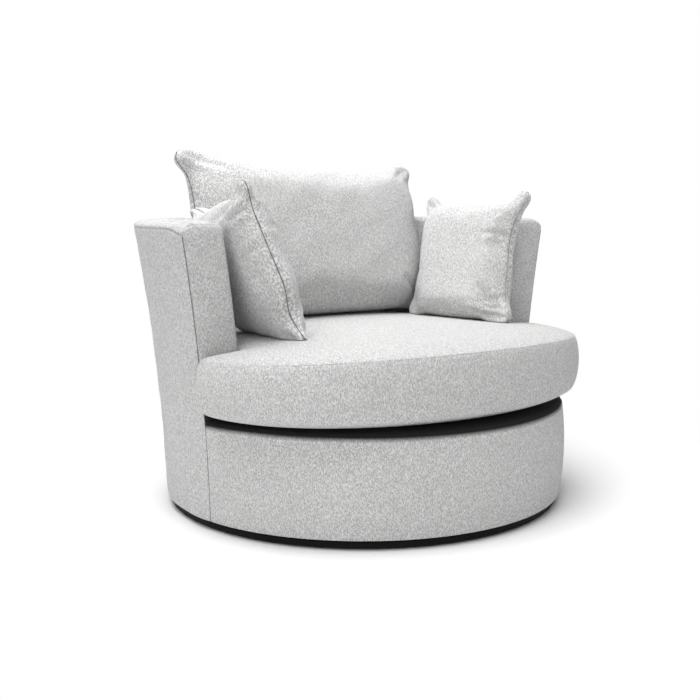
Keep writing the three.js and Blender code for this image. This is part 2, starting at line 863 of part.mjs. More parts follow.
// Rings of the cushion from its belly up to its crown, all set in by the wall
function seatRings(wall) {
  const runShares = [1, 1 / 2, 1 / 6];
  const bulgeShares = [0.9, 0.9];
  const floor = deckTop + wall;
  const seamHeight = floor + seatEdgeRise;
  const top = (x, y, drop) => seatDome(x, y) - wall - seatEdgeDrop * drop;
  const ring = (inset, bulge, level, height) => seatOutline(inset + wall, bulge, level)
    .map(([x, y]) => new THREE.Vector3(x, y, height(x, y)));
  const middle = -(wingRearDepth + seatEdgeRun + wingCornerRadius);
  const rings = [[new THREE.Vector3(0, middle, floor)]];
  runShares.forEach((run) => {
    const rise = floor + seatEdgeRise * (1 - run) ** 2;
    rings.push(ring(seatEdgeRun * run, 0, seamHeight, () => rise));
  });
  rings.push(ring(0, 0, seamHeight, () => seamHeight));
  bulgeShares.forEach((bulge, i) => {
    const share = (i + 1) / (bulgeShares.length + 1);
    const level = THREE.MathUtils.lerp(seamHeight, seatTopHeight - seatSideDrop, share);
    const side = (x, y) => THREE.MathUtils.lerp(seamHeight, top(x, y, 1), share);
    rings.push(ring(0, seatBulge * bulge, level, side));
  });
  const shoulder = seatTopHeight - seatSideDrop - seatEdgeDrop;
  rings.push(ring(0, 0, shoulder, (x, y) => top(x, y, 1)));
  [...runShares].reverse().forEach((run) => {
    rings.push(ring(seatEdgeRun * run, 0, shoulder, (x, y) => top(x, y, (1 - run) ** 2)));
  });
  const crownRing = rings[rings.length - 1].map(({ x, y }) => {
    const [across, along] = [x / 2, (y + middle) / 2];
    return new THREE.Vector3(across, along, top(across, along, 0));
  });
  rings.push(crownRing, [new THREE.Vector3(0, middle, top(0, middle, 0))]);
  return rings;
}

// A cover with its filling. A slot opens the cover's wall, and the zip is the strip that closes it.
function addCushion(name, outerSkin, innerSkin, filling, fillingName, slotAt) {
  const wall = solidOf(outerSkin).subtract(solidOf(innerSkin));
  place(`${name}_cover`, geometryOf(wall.subtract(solidOf(slotAt(seatGap)))), 'fabric');
  place(`${name}_${fillingName}`, filling, fillingName);
  place(`${name}_zip`, geometryOf(wall.intersect(solidOf(slotAt(0)))), 'zip');
}

// The seat's zip runs along the middle of the rear border
function seatSlot(grow) {
  const middle = (deckTop + seatEdgeRise + seatTopHeight - seatEdgeDrop) / 2;
  const length = 2 * innerHalfWidth(middle) * zipLengthShare;
  const slot = new THREE.BoxGeometry(length + 2 * grow, innerDepth(middle), zipHeight + 2 * grow);
  return outward(slot.translate(0, innerDepth(middle), middle));
}

function addSeatCushion() {
  addCushion(
    'seat_cushion',
    loft(seatRings(0)),
    loft(seatRings(cushionWall)),
    loft(seatRings(cushionWall + seatGap)),
    'foam',
    seatSlot,
  );
}

// Loose cushions stand on the seat, turned about Z and leaning back
const backPillow = {
  width: backCushionWidth,
  height: backCushionHeight,
  bulge: backCushionBulge,
  x: backCushionOffset,
  y: backCushionSetback,
  turn: 0,
  lean: backCushionLean,
  earLift: backCushionEarLift,
  rake: 0,
  tuck: 0,
};
const leftPillow = {
  width: scatterWidth,
  height: scatterHeight,
  bulge: scatterBulge,
  x: -leftScatterOffset,
  y: -leftScatterForward,
  turn: leftScatterTurn,
  lean: leftScatterLean,
  earLift: leftScatterEarLift,
  rake: leftScatterRake,
  tuck: leftScatterTuck,
};
const rightPillow = {
  width: scatterWidth,
  height: scatterHeight,
  bulge: scatterBulge,
  x: rightScatterOffset,
  y: -rightScatterForward,
  turn: rightScatterTurn,
  lean: rightScatterLean,
  earLift: rightScatterEarLift,
  rake: rightScatterRake,
  tuck: rightScatterTuck,
};

// From the pillow's own across, up and out to its place on the seat
function pillowMatrix({ x, y, turn, lean }) {
  const foot = seatDome(x, y) + seatGap - cushionSettle;
  const out = new THREE.Vector3(0, -Math.cos(lean), Math.sin(lean));
  const up = new THREE.Vector3(0, Math.sin(lean), Math.cos(lean));
  const stand = new THREE.Matrix4().makeBasis(new THREE.Vector3(1, 0, 0), up, out);
  return stand.premultiply(new THREE.Matrix4().makeRotationZ(turn)).setPosition(x, y, foot);
}

// A pillow's skin: two swelling sheets that meet at a bowed edge, set in by the wall. Its upper edge is
// raked to the rear, and the rear edge of a scatter cushion is pressed in by the back cushion
function pillowSkin(pillow, wall) {
  const [halfWidth, halfHeight] = [pillow.width / 2, pillow.height / 2];
  const edgeWall = wall && cushionEdgeWall + wall - cushionWall;
  const matrix = pillowMatrix(pillow);
  const points = [];
  const index = [];
  [1, -1].forEach((side) => {
    const start = points.length;
    for (let row = 0; row <= pillowRows; row++) {
      for (let column = 0; column <= pillowColumns; column++) {
        const [u, v] = [column / pillowColumns, row / pillowRows].map((t) => Math.sin(Math.PI * (t - 1 / 2)));
        const swell = pillow.bulge * ((1 - u ** 4) * (1 - v ** 4)) ** pillowPower;
        const reach = u * (halfWidth - edgeWall) * (1 - edgeBowShare * (1 - v * v));
        const rise = halfHeight + v * (halfHeight - edgeWall) * (1 - edgeBowShare * (1 - u * u));
        const ear = (pillow.earLift * u * (v + 1)) / 2;
        const rake = (pillow.rake * (v + 1)) / 2;
        const rear = Math.max(Math.sign(pillow.tuck) * u, 0) ** 2;
        const tuck = pillow.tuck * rear * (1 - topTuckShare * ((v + 1) / 2) ** 3);
        const point = new THREE.Vector3(reach + rake - tuck, rise + ear, side * Math.max(swell - wall, 0));
        point.applyMatrix4(matrix);
        point.z = Math.max(point.z, seatDome(point.x, point.y) + seatGap + wall);
        points.push(point);
        if (row === pillowRows || column === pillowColumns) continue;
        const a = start + row * (pillowColumns + 1) + column;
        const [b, c, d] = [a + 1, a + pillowColumns + 2, a + pillowColumns + 1];
        index.push(...(side > 0 ? [a, b, c, a, c, d] : [a, c, b, a, d, c]));
      }
    }
  });
  return outward(new THREE.BufferGeometry().setFromPoints(points).setIndex(index));
}

// The pillow's zip runs in the seam along the middle of its lower edge
function pillowSlot(pillow, grow) {
  const high = cushionEdgeWall + (pillow.height / 2) * edgeBowShare + overrun;
  const length = pillow.width * zipLengthShare;
  const slot = new THREE.BoxGeometry(length + 2 * grow, high + overrun, zipThickness + 2 * grow);
  slot.translate(-pillow.tuck * zipTuckShare, (high - overrun) / 2, 0);
  return outward(slot.applyMatrix4(pillowMatrix(pillow)));
}

function addPillow(name, pillow) {
  addCushion(
    name,
    pillowSkin(pillow, 0),
    pillowSkin(pillow, cushionWall),
    pillowSkin(pillow, cushionWall + fillingGap),
    'fibre',
    (grow) => pillowSlot(pillow, grow),
  );
}

addPlinth();
addSwivel();
addBaseBoard();
addTubFrame();
addBorder();
addSeatSuspension();
addTubCovers();
addSeatCushion();
addPillow('back_cushion', backPillow);
addPillow('scatter_cushion_left', leftPillow);
addPillow('scatter_cushion_right', rightPillow);

// The plan's front and rear reach balance about the origin
const rearReach = tubRadius(rimSeamHeight);
const frontReach = drumRadius + borderBarrel;
chair.position.y = (frontReach - rearReach) / 2;

export default chair;
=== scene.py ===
"""Dresses the frame of a round swivel cuddle chair: cloth covers, cushions, seams, zips and finishes."""

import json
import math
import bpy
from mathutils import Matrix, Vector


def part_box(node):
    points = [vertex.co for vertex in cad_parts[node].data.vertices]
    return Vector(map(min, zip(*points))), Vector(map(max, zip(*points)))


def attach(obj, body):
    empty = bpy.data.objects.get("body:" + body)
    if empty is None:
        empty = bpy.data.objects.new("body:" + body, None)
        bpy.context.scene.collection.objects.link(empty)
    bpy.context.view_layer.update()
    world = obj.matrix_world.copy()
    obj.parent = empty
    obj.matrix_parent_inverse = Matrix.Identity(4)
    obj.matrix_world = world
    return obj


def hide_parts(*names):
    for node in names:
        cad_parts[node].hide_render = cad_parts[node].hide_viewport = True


bl_info = {
    "name": "Swivel Cuddle Chair",
    "version": (1, 0, 0),
    "blender": (4, 5, 0),
    "location": "3D View > Sidebar > Cuddle Chair",
    "description": "Upholsters a round swivel chair over its fixed frame and sets it on a pale floor",
    "category": "Object",
}

import bmesh
import bpy
import numpy as np
from bpy.props import FloatProperty, FloatVectorProperty, IntProperty, PointerProperty
from mathutils import Matrix, Vector
from mathutils.bvhtree import BVHTree
from mathutils.kdtree import KDTree

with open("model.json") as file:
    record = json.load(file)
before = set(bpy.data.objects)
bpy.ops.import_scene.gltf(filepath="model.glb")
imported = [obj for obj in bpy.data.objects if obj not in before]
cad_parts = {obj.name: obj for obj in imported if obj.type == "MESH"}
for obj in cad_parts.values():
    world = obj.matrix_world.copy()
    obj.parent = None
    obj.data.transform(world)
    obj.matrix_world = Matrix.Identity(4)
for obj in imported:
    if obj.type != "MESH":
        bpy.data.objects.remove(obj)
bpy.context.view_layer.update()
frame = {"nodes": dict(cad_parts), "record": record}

# Heights and reaches that the frame gives
SWIVEL = next(j for j in frame["record"]["behaviour"]["joints"] if j["name"] == "swivel")
AXIS_Y = SWIVEL["pos_m"][1]
HEM_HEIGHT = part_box("outside_cover")[0].z
RIM_SEAM_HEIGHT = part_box("outside_cover")[1].z
RIM_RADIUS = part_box("outside_cover")[1].x
DECK_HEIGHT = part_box("front_border_cover")[1].z
SEAT_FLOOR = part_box("seat_cushion_cover")[0].z
SEAT_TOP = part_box("seat_cushion_cover")[1].z
WEAVE_MAP = "weave"
MILLIMETRE = 0.001
BLOCK_SHARE = 0.95
FIBRE_SHARE = 0.92


def metres(name, description, default, low=0.0, high=2.0):
    """A length that shows in the panel."""
    return FloatProperty(
        name=name, description=description, default=default, min=low, max=high, subtype="DISTANCE", unit="LENGTH"
    )


def share(name, description, default, low=0.0, high=10.0):
    """A plain number that shows in the panel."""
    return FloatProperty(name=name, description=description, default=default, min=low, max=high)


def colour(name, description, default):
    """A linear colour that shows in the panel."""
    return FloatVectorProperty(
        name=name, description=description, default=default, min=0.0, max=1.0, size=3, subtype="COLOR"
    )


class TubSizes(bpy.types.PropertyGroup):
    """Sizes of the drum, the tub and its rim"""

    flare_linear: share("Flare", "Straight part of the tub's widening from hem to rim", 0.037)
    flare_square: share("Flare curve", "Curved part of the tub's widening", 0.089)
    arm_width: metres("Arm width", "Wall thickness at the arms", 0.111)
    back_width: metres("Back width", "Wall thickness at the back", 0.155)
    inner_power: share("Inner curve", "How square the inner face runs round the back", 2.5)
    front_depth: metres("Arm front", "The arm fronts' distance before the swivel axis, at the foot", 0.077)
    front_lean: metres("Arm front lean", "How much further forward the arm fronts are at the rim", 0.013)
    rim_crown: metres("Rim crown", "Rise of the rounded rim above its seam", 0.018)
    rim_power: share("Rim curve", "How square the rim's arch is", 2.6)
    corner_dip: metres("Corner dip", "How far the rim's seam drops at the arm fronts' corners", 0.013)
    corner_run: metres("Corner run", "Length over which the rim's seam drops", 0.034)
    # The platform cloth on the arm fronts is real decking and also painted shade: it blackens their foot where the
    # seat cushion shades it.
    foot_height: metres("Platform height", "How far the platform cloth climbs the arm fronts", 0.019)
    border_barrel: metres("Border barrel", "Swell of the drum's front", 0.009)
    border_round: metres("Border round", "Radius of the border's upper edge", 0.016)
    # From this seam inwards the border's roll is black platform cloth: decking, and painted shade under the seat
    # cushion.
    platform_start: share("Platform seam", "Where the platform cloth starts on the border's rounded edge", 0.12)
    seam_depth: metres("Seam depth", "How far a plain seam draws the cloth in", 0.0014)
    seam_run: metres("Seam run", "Width of the roll on each side of a seam", 0.006)
    tuck_depth: metres("Tuck depth", "How far the cloth dives into a seam", 0.0013)
    tuck_run: metres("Tuck run", "Width of the dive on each side of a seam", 0.0014)
    roll_depth: metres("Roll depth", "How far the cloth rolls in at a corner seam", 0.0026)
    roll_run: metres("Roll run", "Width of the roll at a corner seam", 0.0045)
    # The dark line is a cord of darkened cloth: painted shade standing in for the shadow in the seam's groove.
    seam_cord: metres("Seam cord", "Radius of the dark line in a seam", 0.0012)
    cord_rise: share("Cord rise", "How far the dark line stands out of the seam, in shares of its radius", 0.2)
    ripple: metres("Unevenness", "Height of the gentle waves in the stretched cloth", 0.0011)


class SeatSizes(bpy.types.PropertyGroup):
    """Sizes of the T-shaped seat cushion"""

    half_width: metres("Front half width", "Half the width across the front wings", 0.529)
    depth: metres("Front depth", "Depth of the front curve", 0.406)
    centre: metres("Front centre", "Distance of the front curve's centre before the swivel axis", 0.084)
    side_drop: metres("Side drop", "Fall of the top from the middle to the sides", 0.028)
    front_drop: metres("Front drop", "Fall of the top from the middle to the front", 0.006)
    edge_drop: metres("Edge drop", "Fall of the top from its crown to the seam", 0.012)
    edge_rise: metres("Edge rise", "Height of the lower seam above the deck", 0.025)
    edge_run: metres("Edge run", "Width of the rolled margin", 0.09)
    bulge: metres("Border bulge", "Swell of the border between its seams", 0.012)
    clearance: metres("Clearance", "Gap between the cushion and the tub", 0.003)
    corner: metres("Wing corner", "Radius of the wings' rear corners", 0.024)
    cord: metres("Seam cord", "Radius of the cord of cloth in the seams", 0.0013)
    swell: metres("Swell", "Most that a point travels as the cushion fills", 0.022)


class PillowSizes(bpy.types.PropertyGroup):
    """Sizes of one loose cushion and its place on the seat"""

    width: metres("Width", "Seam to seam across", 0.5)
    height: metres("Height", "Seam to seam upwards", 0.4)
    bulge: metres("Bulge", "Half the thickness in the middle", 0.08)
    across: metres("Across", "Place of the lower edge's middle across the seat", 0.0, -1.0)
    back: metres("Back", "Place of the lower edge's middle behind the swivel axis", 0.0, -1.0)
    turn: FloatProperty(name="Turn", description="Turn about the vertical", default=0.0, subtype="ANGLE")
    lean: FloatProperty(name="Lean", description="Lean backwards", default=0.0, subtype="ANGLE")
    ear_lift: metres("Ear lift", "How much higher the right upper corner stands", 0.0, -1.0)
    rake: metres("Rake", "How far the upper edge is shifted sideways", 0.0, -1.0)
    tuck: metres("Tuck", "How far the side edge is pressed in by its neighbour; its sign picks the side", 0.0, -1.0)
    top_tuck: share("Top tuck", "How much less the upper end of that edge is pressed in", 0.68, 0.0, 1.0)
    sag: metres("Sag", "How far the lower front settles towards the seat", 0.008)
    sag_run: metres("Sag run", "Height over which the settling fades", 0.03)
    settle: metres("Settle", "How far the lower edge is pressed flat", 0.007)
    bow: metres("Left bow", "How far the left edge draws in between the stuffed corners", 0.01)
    right_bow: metres("Right bow", "How far the right edge draws in between the stuffed corners", 0.01)
    bow_run: metres("Side run", "Length over which a side edge draws in beside a corner", 0.045)
    top_bow: metres("Top bow", "How far the upper edge draws in between the stuffed corners", 0.01)
    top_run: metres("Top run", "Length over which the upper edge draws in beside a corner", 0.08)
    low_corner: share("Lower corners", "How far the lower corners are drawn in with the edges", 0.8, 0.0, 1.0)
    far_ear: metres("Far ear", "How far the upper right corner is pulled out", 0.0)
    waist: metres("Waist", "How far one side edge is pinched in, the left one if below 0", 0.0, -1.0)
    waist_height: share("Waist height", "Where it is pressed in most, as a share of the height", 0.64, 0.0, 1.0)
    waist_run: share("Waist run", "Half height of the pinch as a share of the pillow", 0.24)
    ear: metres("Ear", "Half the thickness of the stuffed corners", 0.015)
    ear_radius: metres("Ear radius", "Radius of the rounded corners", 0.021)
    pinch: share("Pinch", "How much the cushion thins beside its corners", 0.6, 0.0, 1.0)
    pinch_run: metres("Pinch run", "Distance from the corner over which it thins", 0.05)
    groove: metres("Seam groove", "How far the edge seam is drawn in", 0.004)
    # The dark seam line is a cord of darkened cloth: painted shade standing in for the shadow in the seam's groove.
    cord: metres("Seam cord", "Radius of the dark seam line round the edge", 0.0013)
    piping: metres("Piping", "Radius of the self piping on the seam", 0.0)
    swell: metres("Swell", "Most that a point travels as the cushion fills", 0.016)
    low_power: share("Low fullness", "How late the lower half curves in to its seam", 4.0, 2.0, 20.0)
    wave: metres("Unevenness", "Height of the gentle waves in the filled cloth", 0.0013)
    pillow_power: share("Fullness", "How soon the cushion fills out from its edge", 0.45)


class ClothLook(bpy.types.PropertyGroup):
    """Colours and weave of the covers"""

    light: colour("Light yarn", "Colour of the lightest slubs", (0.91, 0.91, 0.906))
    dark: colour("Dark yarn", "Colour of the darkest slubs", (0.52, 0.52, 0.517))
    platform: colour("Platform cloth", "Colour of the cloth under the seat cushion", (0.011, 0.011, 0.0115))
    yarn: metres("Yarn pitch", "Distance between yarns", 0.0011)
    slub_width: metres("Slub width", "Thickness of a slub", 0.0013)
    slub_length: metres("Slub length", "Length of a slub", 0.0052)
    contrast: share("Contrast", "How much lighter and darker the slubs are", 2.6)
    relief: share("Relief", "How far the slubs stand out", 2.4)


class StageLook(bpy.types.PropertyGroup):
    """Camera, floor and light"""

    lens: FloatProperty(name="Lens", description="Focal length on a 36 mm sensor", default=52.56)
    azimuth: FloatProperty(
        name="Azimuth", description="Camera's turn about the chair", default=math.radians(-37.515), subtype="ANGLE"
    )
    pitch: FloatProperty(
        name="Pitch", description="How far the camera looks down", default=math.radians(7.969), subtype="ANGLE"
    )
    distance: metres("Distance", "Camera's distance from the swivel axis", 2.581, 0.0, 20.0)
    height: metres("Height", "Camera's height", 0.723)
    shift: FloatProperty(name="Shift", description="Sideways shift of the picture", default=-0.0194)
    ambient: share("Ambient", "Strength of the light from all round", 0.44)
    key: FloatProperty(name="Key light", description="Power of the large lamp at the left", default=34.0)
    top: FloatProperty(name="Top light", description="Power of the lamp overhead", default=101.0)
    front: FloatProperty(name="Front light", description="Power of the lamp above the front", default=12.0)
    floor_reach: metres("Floor reach", "Distance at which the floor has thinned out", 3.2, 0.0, 20.0)
    floor_fade: metres("Floor fade", "Width over which the floor thins out", 1.4, 0.0, 20.0)
    seen_reach: metres("Seen reach", "Distance at which the floor is no longer seen", 1.3, 0.0, 20.0)
    seen_fade: metres("Seen fade", "Width over which the seen floor thins out", 0.78, 0.0, 20.0)
    floor: colour("Floor", "Colour of the pale floor", (0.95, 0.95, 0.95))


# Numbers and grids
def steps(low, high, count):
    """Evenly spaced values, both ends included."""
    return np.linspace(low, high, count)


def eased(low, high, count):
    """Values from low to high that lie closer together at both ends."""
    return low + (high - low) * (0.5 - 0.5 * np.cos(np.linspace(0.0, math.pi, count)))


def power(value, exponent):
    """A power that keeps its sign."""
    return np.sign(value) * np.abs(value) ** exponent


def tuck(distance, sizes):
    """How far a cover is drawn in beside a flat seam: a soft roll and a sharp tuck."""
    return sizes.seam_depth * fade(distance, sizes.seam_run) + sizes.tuck_depth * fade(distance, sizes.tuck_run)


def roll(distance, sizes):
    """How far a cover is drawn in and back where it rolls into a corner seam."""
    return sizes.roll_depth * fade(distance, sizes.roll_run)


def fade(distance, run):
    """1 at a seam, falling to 0 over a few runs."""
    return np.exp(-np.clip(distance, 0.0, None) / run)


def ripple(u, v, seed, pitch=0.12, waves=7):
    """Gentle unevenness between -1 and 1: a few crossing waves."""
    spread = np.random.default_rng(seed)
    total = 0.0 * (u + v)
    for _ in range(waves):
        angle, phase = spread.uniform(0.0, math.tau, 2)
        length = pitch * spread.uniform(0.7, 1.7)
        along = u * math.cos(angle) + v * math.sin(angle)
        total = total + np.sin(along * math.tau / length + phase)
    return total / math.sqrt(waves)


def lengths(points, axis):
    """Running length over a grid of points, along one of its axes."""
    gaps = np.linalg.norm(np.diff(points, axis=axis), axis=2)
    start = np.zeros_like(np.take(gaps, [0], axis=axis))
    return np.concatenate([start, np.cumsum(gaps, axis=axis)], axis=axis)


def weave_of(points):
    """A weave map in metres for a grid: columns run along u and rows along v."""
    u = lengths(points, 1)
    v = lengths(points, 0)
    return np.stack([u - u.mean(axis=1, keepdims=True), v], axis=2)


def normals_of(points):
    """Unit normals of a grid of points."""
    across = np.gradient(points, axis=1)
    along = np.gradient(points, axis=0)
    normal = np.cross(across, along)
    return normal / np.maximum(np.linalg.norm(normal, axis=2, keepdims=True), 1e-9)


def patch(points, weave=None, flip=False):
    """A cloth panel: its points, its quads and its weave map."""
    rows, columns = points.shape[:2]
    index = np.arange(rows * columns).reshape(rows, columns)
    quads = np.stack([index[:-1, :-1], index[:-1, 1:], index[1:, 1:], index[1:, :-1]], axis=2).reshape(-1, 4)
    if flip:
        quads = quads[:, ::-1]
    weave = weave_of(points) if weave is None else weave
    return points.reshape(-1, 3), quads, weave.reshape(-1, 2)


# Meshes
def link(name, mesh):
    """A new object for a mesh, in the scene."""
    piece = bpy.data.objects.new(name, mesh)
    bpy.context.scene.collection.objects.link(piece)
    return piece


def sew(name, patches, closed=True):
    """One mesh from cloth panels, welded where they meet. Edges between panels become seams."""
    bm = bmesh.new()
    weave_layer = bm.loops.layers.uv.new(WEAVE_MAP)
    panel_layer = bm.faces.layers.int.new("panel")
    for number, (points, quads, weave) in enumerate(patches):
        corners = [bm.verts.new(point) for point in points]
        for quad in quads:
            face = bm.faces.new([corners[i] for i in quad])
            face.smooth = True
            face[panel_layer] = number
            for loop, i in zip(face.loops, quad):
                loop[weave_layer].uv = weave[i]
    bmesh.ops.remove_doubles(bm, verts=bm.verts, dist=0.02 * MILLIMETRE)
    bmesh.ops.dissolve_degenerate(bm, edges=bm.edges, dist=0.01 * MILLIMETRE)
    for edge in bm.edges:
        edge.seam = len({face[panel_layer] for face in edge.link_faces}) > 1
    if closed:
        bmesh.ops.recalc_face_normals(bm, faces=bm.faces)
        if bm.calc_volume(signed=True) < 0.0:
            bmesh.ops.reverse_faces(bm, faces=bm.faces)
    mesh = bpy.data.meshes.new(name)
    bm.to_mesh(mesh)
    bm.free()
    return link(name, mesh)


def positions(mesh):
    """The mesh's points as an array."""
    flat = np.empty(len(mesh.vertices) * 3)
    mesh.vertices.foreach_get("co", flat)
    return flat.reshape(-1, 3)


def set_positions(mesh, points):
    """Moves the mesh's points."""
    mesh.vertices.foreach_set("co", np.ascontiguousarray(points, dtype=np.float64).ravel())
    mesh.update()


def vertex_normals(mesh):
    """The mesh's point normals as an array."""
    flat = np.empty(len(mesh.vertices) * 3)
    mesh.vertex_normals.foreach_get("vector", flat)
    return flat.reshape(-1, 3)


def plain_mesh(piece):
    """Turns a piece with its modifiers into a plain mesh."""
    graph = bpy.context.evaluated_depsgraph_get()
    mesh = bpy.data.meshes.new_from_object(piece.evaluated_get(graph))
    piece.modifiers.clear()
    piece.data = mesh
    return piece


def subdivided(piece):
    """One level of smooth subdivision, applied."""
    smoother = piece.modifiers.new("smooth", "SUBSURF")
    smoother.levels = 1
    smoother.render_levels = 1
    return plain_mesh(piece)


def thicken(piece, thickness):
    """Gives a cover its cloth thickness, inwards."""
    wall = piece.modifiers.new("cloth", "SOLIDIFY")
    wall.thickness = thickness
    wall.offset = -1.0
    return piece


def tree_of(mesh):
    """A search tree over a mesh's faces."""
    return BVHTree.FromPolygons(
        [tuple(point) for point in positions(mesh)], [tuple(face.vertices) for face in mesh.polygons]
    )


def finish_piece(piece, body, material, nodes=()):
    """Paints a piece, rides it on its body and lets it stand for its CAD nodes."""
    piece.data.materials.clear()
    piece.data.materials.append(material)
    if nodes:
        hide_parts(*nodes)
    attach(piece, body)
    return piece


def swell(piece, frames, pressure, cap, stretch):
    """Fills a pad with air under a cloth simulation. No point travels further than the cap."""
    start = positions(piece.data)
    cloth = piece.modifiers.new("swell", "CLOTH")
    cloth.settings.quality = 5
    cloth.settings.mass = 0.3
    cloth.settings.tension_stiffness = 20.0
    cloth.settings.compression_stiffness = 20.0
    cloth.settings.shear_stiffness = 5.0
    cloth.settings.bending_stiffness = 0.3
    cloth.settings.use_pressure = True
    cloth.settings.uniform_pressure_force = pressure
    cloth.settings.shrink_min = -stretch
    cloth.settings.effector_weights.gravity = 0.0
    cloth.collision_settings.use_collision = False
    cloth.point_cache.frame_end = frames
    scene = bpy.context.scene
    for number in range(1, frames + 1):
        scene.frame_set(number)
    graph = bpy.context.evaluated_depsgraph_get()
    moved = positions(piece.evaluated_get(graph).data) - start
    piece.modifiers.remove(cloth)
    scene.frame_set(1)
    travel = np.linalg.norm(moved, axis=1)
    moved *= np.minimum(1.0, cap / np.maximum(travel, 1e-9))[:, None]
    set_positions(piece.data, start + moved)


# Seams and what repeats along them
def seam_loops(mesh, outward=0.0):
    """Closed rows of points along the mesh's seam edges, moved outwards."""
    points = positions(mesh) + vertex_normals(mesh) * outward
    neighbours = {}
    for edge in mesh.edges:
        if edge.use_seam:
            a, b = edge.vertices
            neighbours.setdefault(a, []).append(b)
            neighbours.setdefault(b, []).append(a)
    loops = []
    while neighbours:
        here = min(neighbours)
        row = [here]
        while here is not None:
            unused = [n for n in neighbours.pop(here) if n in neighbours]
            here = unused[0] if unused else None
            if here is not None:
                row.append(here)
        if len(row) > 2:
            loops.append(points[row])
    return loops


def wire_object(name, rows, closed=True):
    """Rows of points as edges, for a tree that follows them."""
    points = []
    edges = []
    for row in rows:
        first = len(points)
        points.extend(tuple(point) for point in row)
        edges.extend((first + i, first + i + 1) for i in range(len(row) - 1))
        if closed:
            edges.append((first + len(row) - 1, first))
    mesh = bpy.data.meshes.new(name)
    mesh.from_pydata(points, edges, [])
    return link(name, mesh)


class Tree:
    """A geometry node tree with named inputs."""

    def __init__(self, name):
        self.tree = bpy.data.node_groups.new(name, "GeometryNodeTree")
        self.tree.interface.new_socket("Geometry", in_out="INPUT", socket_type="NodeSocketGeometry")
        self.tree.interface.new_socket("Geometry", in_out="OUTPUT", socket_type="NodeSocketGeometry")
        self.start = self.tree.nodes.new("NodeGroupInput")
        self.end = self.tree.nodes.new("NodeGroupOutput")
        self.sockets = {}

    def size(self, name, kind="NodeSocketFloat"):
        """A named input of the tree."""
        self.sockets[name] = self.tree.interface.new_socket(name, in_out="INPUT", socket_type=kind).identifier
        return self.start.outputs[name]

    def add(self, kind, settings=None, links=None):
        """A node with its settings, and the values or links of its sockets."""
        node = self.tree.nodes.new(kind)
        for key, value in (settings or {}).items():
            setattr(node, key, value)
        for key, value in (links or {}).items():
            if isinstance(value, bpy.types.NodeSocket):
                self.tree.links.new(value, node.inputs[key])
            else:
                node.inputs[key].default_value = value
        return node

    def close(self, shape, material):
        """Ends the tree in real geometry with its material."""
        real = self.add("GeometryNodeRealizeInstances", links={"Geometry": shape})
        painted = self.add(
            "GeometryNodeSetMaterial", links={"Geometry": real.outputs["Geometry"], "Material": material}
        )
        self.tree.links.new(painted.outputs["Geometry"], self.end.inputs["Geometry"])

    def apply(self, piece, sizes):
        """Runs the tree on a piece and leaves a plain mesh."""
        modifier = piece.modifiers.new("tree", "NODES")
        modifier.node_group = self.tree
        for name, value in sizes.items():
            modifier[self.sockets[name]] = value
        return plain_mesh(piece)


def cord_tree():
    """A round cord along each row of edges."""
    tree = Tree("Seam cord")
    radius = tree.size("Radius")
    spacing = tree.size("Spacing")
    material = tree.size("Material", "NodeSocketMaterial")
    path = tree.add("GeometryNodeMeshToCurve", links={"Mesh": tree.start.outputs["Geometry"]})
    even = tree.add(
        "GeometryNodeResampleCurve", {"mode": "LENGTH"}, {"Curve": path.outputs["Curve"], "Length": spacing}
    )
    ring = tree.add("GeometryNodeCurvePrimitiveCircle", {"mode": "RADIUS"}, {"Resolution": 8, "Radius": radius})
    cord = tree.add(
        "GeometryNodeCurveToMesh",
        links={"Curve": even.outputs["Curve"], "Profile Curve": ring.outputs["Curve"], "Fill Caps": True},
    )
    tree.close(cord.outputs["Mesh"], material)
    return tree


def bead_tree():
    """A row of small rounded beads along each row of edges, such as stitches."""
    tree = Tree("Stitch row")
    spacing = tree.size("Spacing")
    size = tree.size("Size", "NodeSocketVector")
    material = tree.size("Material", "NodeSocketMaterial")
    path = tree.add("GeometryNodeMeshToCurve", links={"Mesh": tree.start.outputs["Geometry"]})
    spots = tree.add(
        "GeometryNodeCurveToPoints", {"mode": "LENGTH"}, {"Curve": path.outputs["Curve"], "Length": spacing}
    )
    bead = tree.add("GeometryNodeMeshUVSphere", links={"Segments": 6, "Rings": 4, "Radius": 1.0})
    row = tree.add(
        "GeometryNodeInstanceOnPoints",
        links={
            "Points": spots.outputs["Points"],
            "Instance": bead.outputs["Mesh"],
            "Rotation": spots.outputs["Rotation"],
            "Scale": size,
        },
    )
    tree.close(row.outputs["Instances"], material)
    return tree


def cord_along(name, rows, radius, material, closed=True):
    """A cord of cloth along rows of points."""
    piece = wire_object(name, rows, closed)
    sizes = {"Radius": radius, "Spacing": 4 * MILLIMETRE, "Material": material}
    cord_tree().apply(piece, sizes)
    for face in piece.data.polygons:
        face.use_smooth = True
    return piece


def beads_along(name, rows, spacing, size, material, closed=True):
    """A row of beads along rows of points."""
    piece = wire_object(name, rows, closed)
    bead_tree().apply(piece, {"Spacing": spacing, "Size": size, "Material": material})
    return piece


# Shader expressions
class Term:
    """A shader socket that can stand in an expression."""

    def __init__(self, finish, socket):
        self.finish = finish
        self.socket = socket

    def math(self, operation, *others):
        values = {i: value for i, value in enumerate((self, *others))}
        return self.finish.add("ShaderNodeMath", {"operation": operation}, values)

    def __add__(self, other):
        return self.math("ADD", other)

    __radd__ = __add__

    def __mul__(self, other):
        return self.math("MULTIPLY", other)

    __rmul__ = __mul__

    def __sub__(self, other):
        return self.math("SUBTRACT", other)

    def __rsub__(self, other):
        return self.finish.add("ShaderNodeMath", {"operation": "SUBTRACT"}, {0: other, 1: self})

    def __truediv__(self, other):
        return self.math("DIVIDE", other)

    def sine(self):
        return self.math("SINE")

    def absolute(self):
        return self.math("ABSOLUTE")

    def raised(self, exponent):
        return self.math("POWER", exponent)

    def at_most(self, other):
        return self.math("MINIMUM", other)

    def at_least(self, other):
        return self.math("MAXIMUM", other)

    def over(self, limit):
        return self.math("GREATER_THAN", limit)

    def clamped(self):
        return self.at_least(0.0).at_most(1.0)


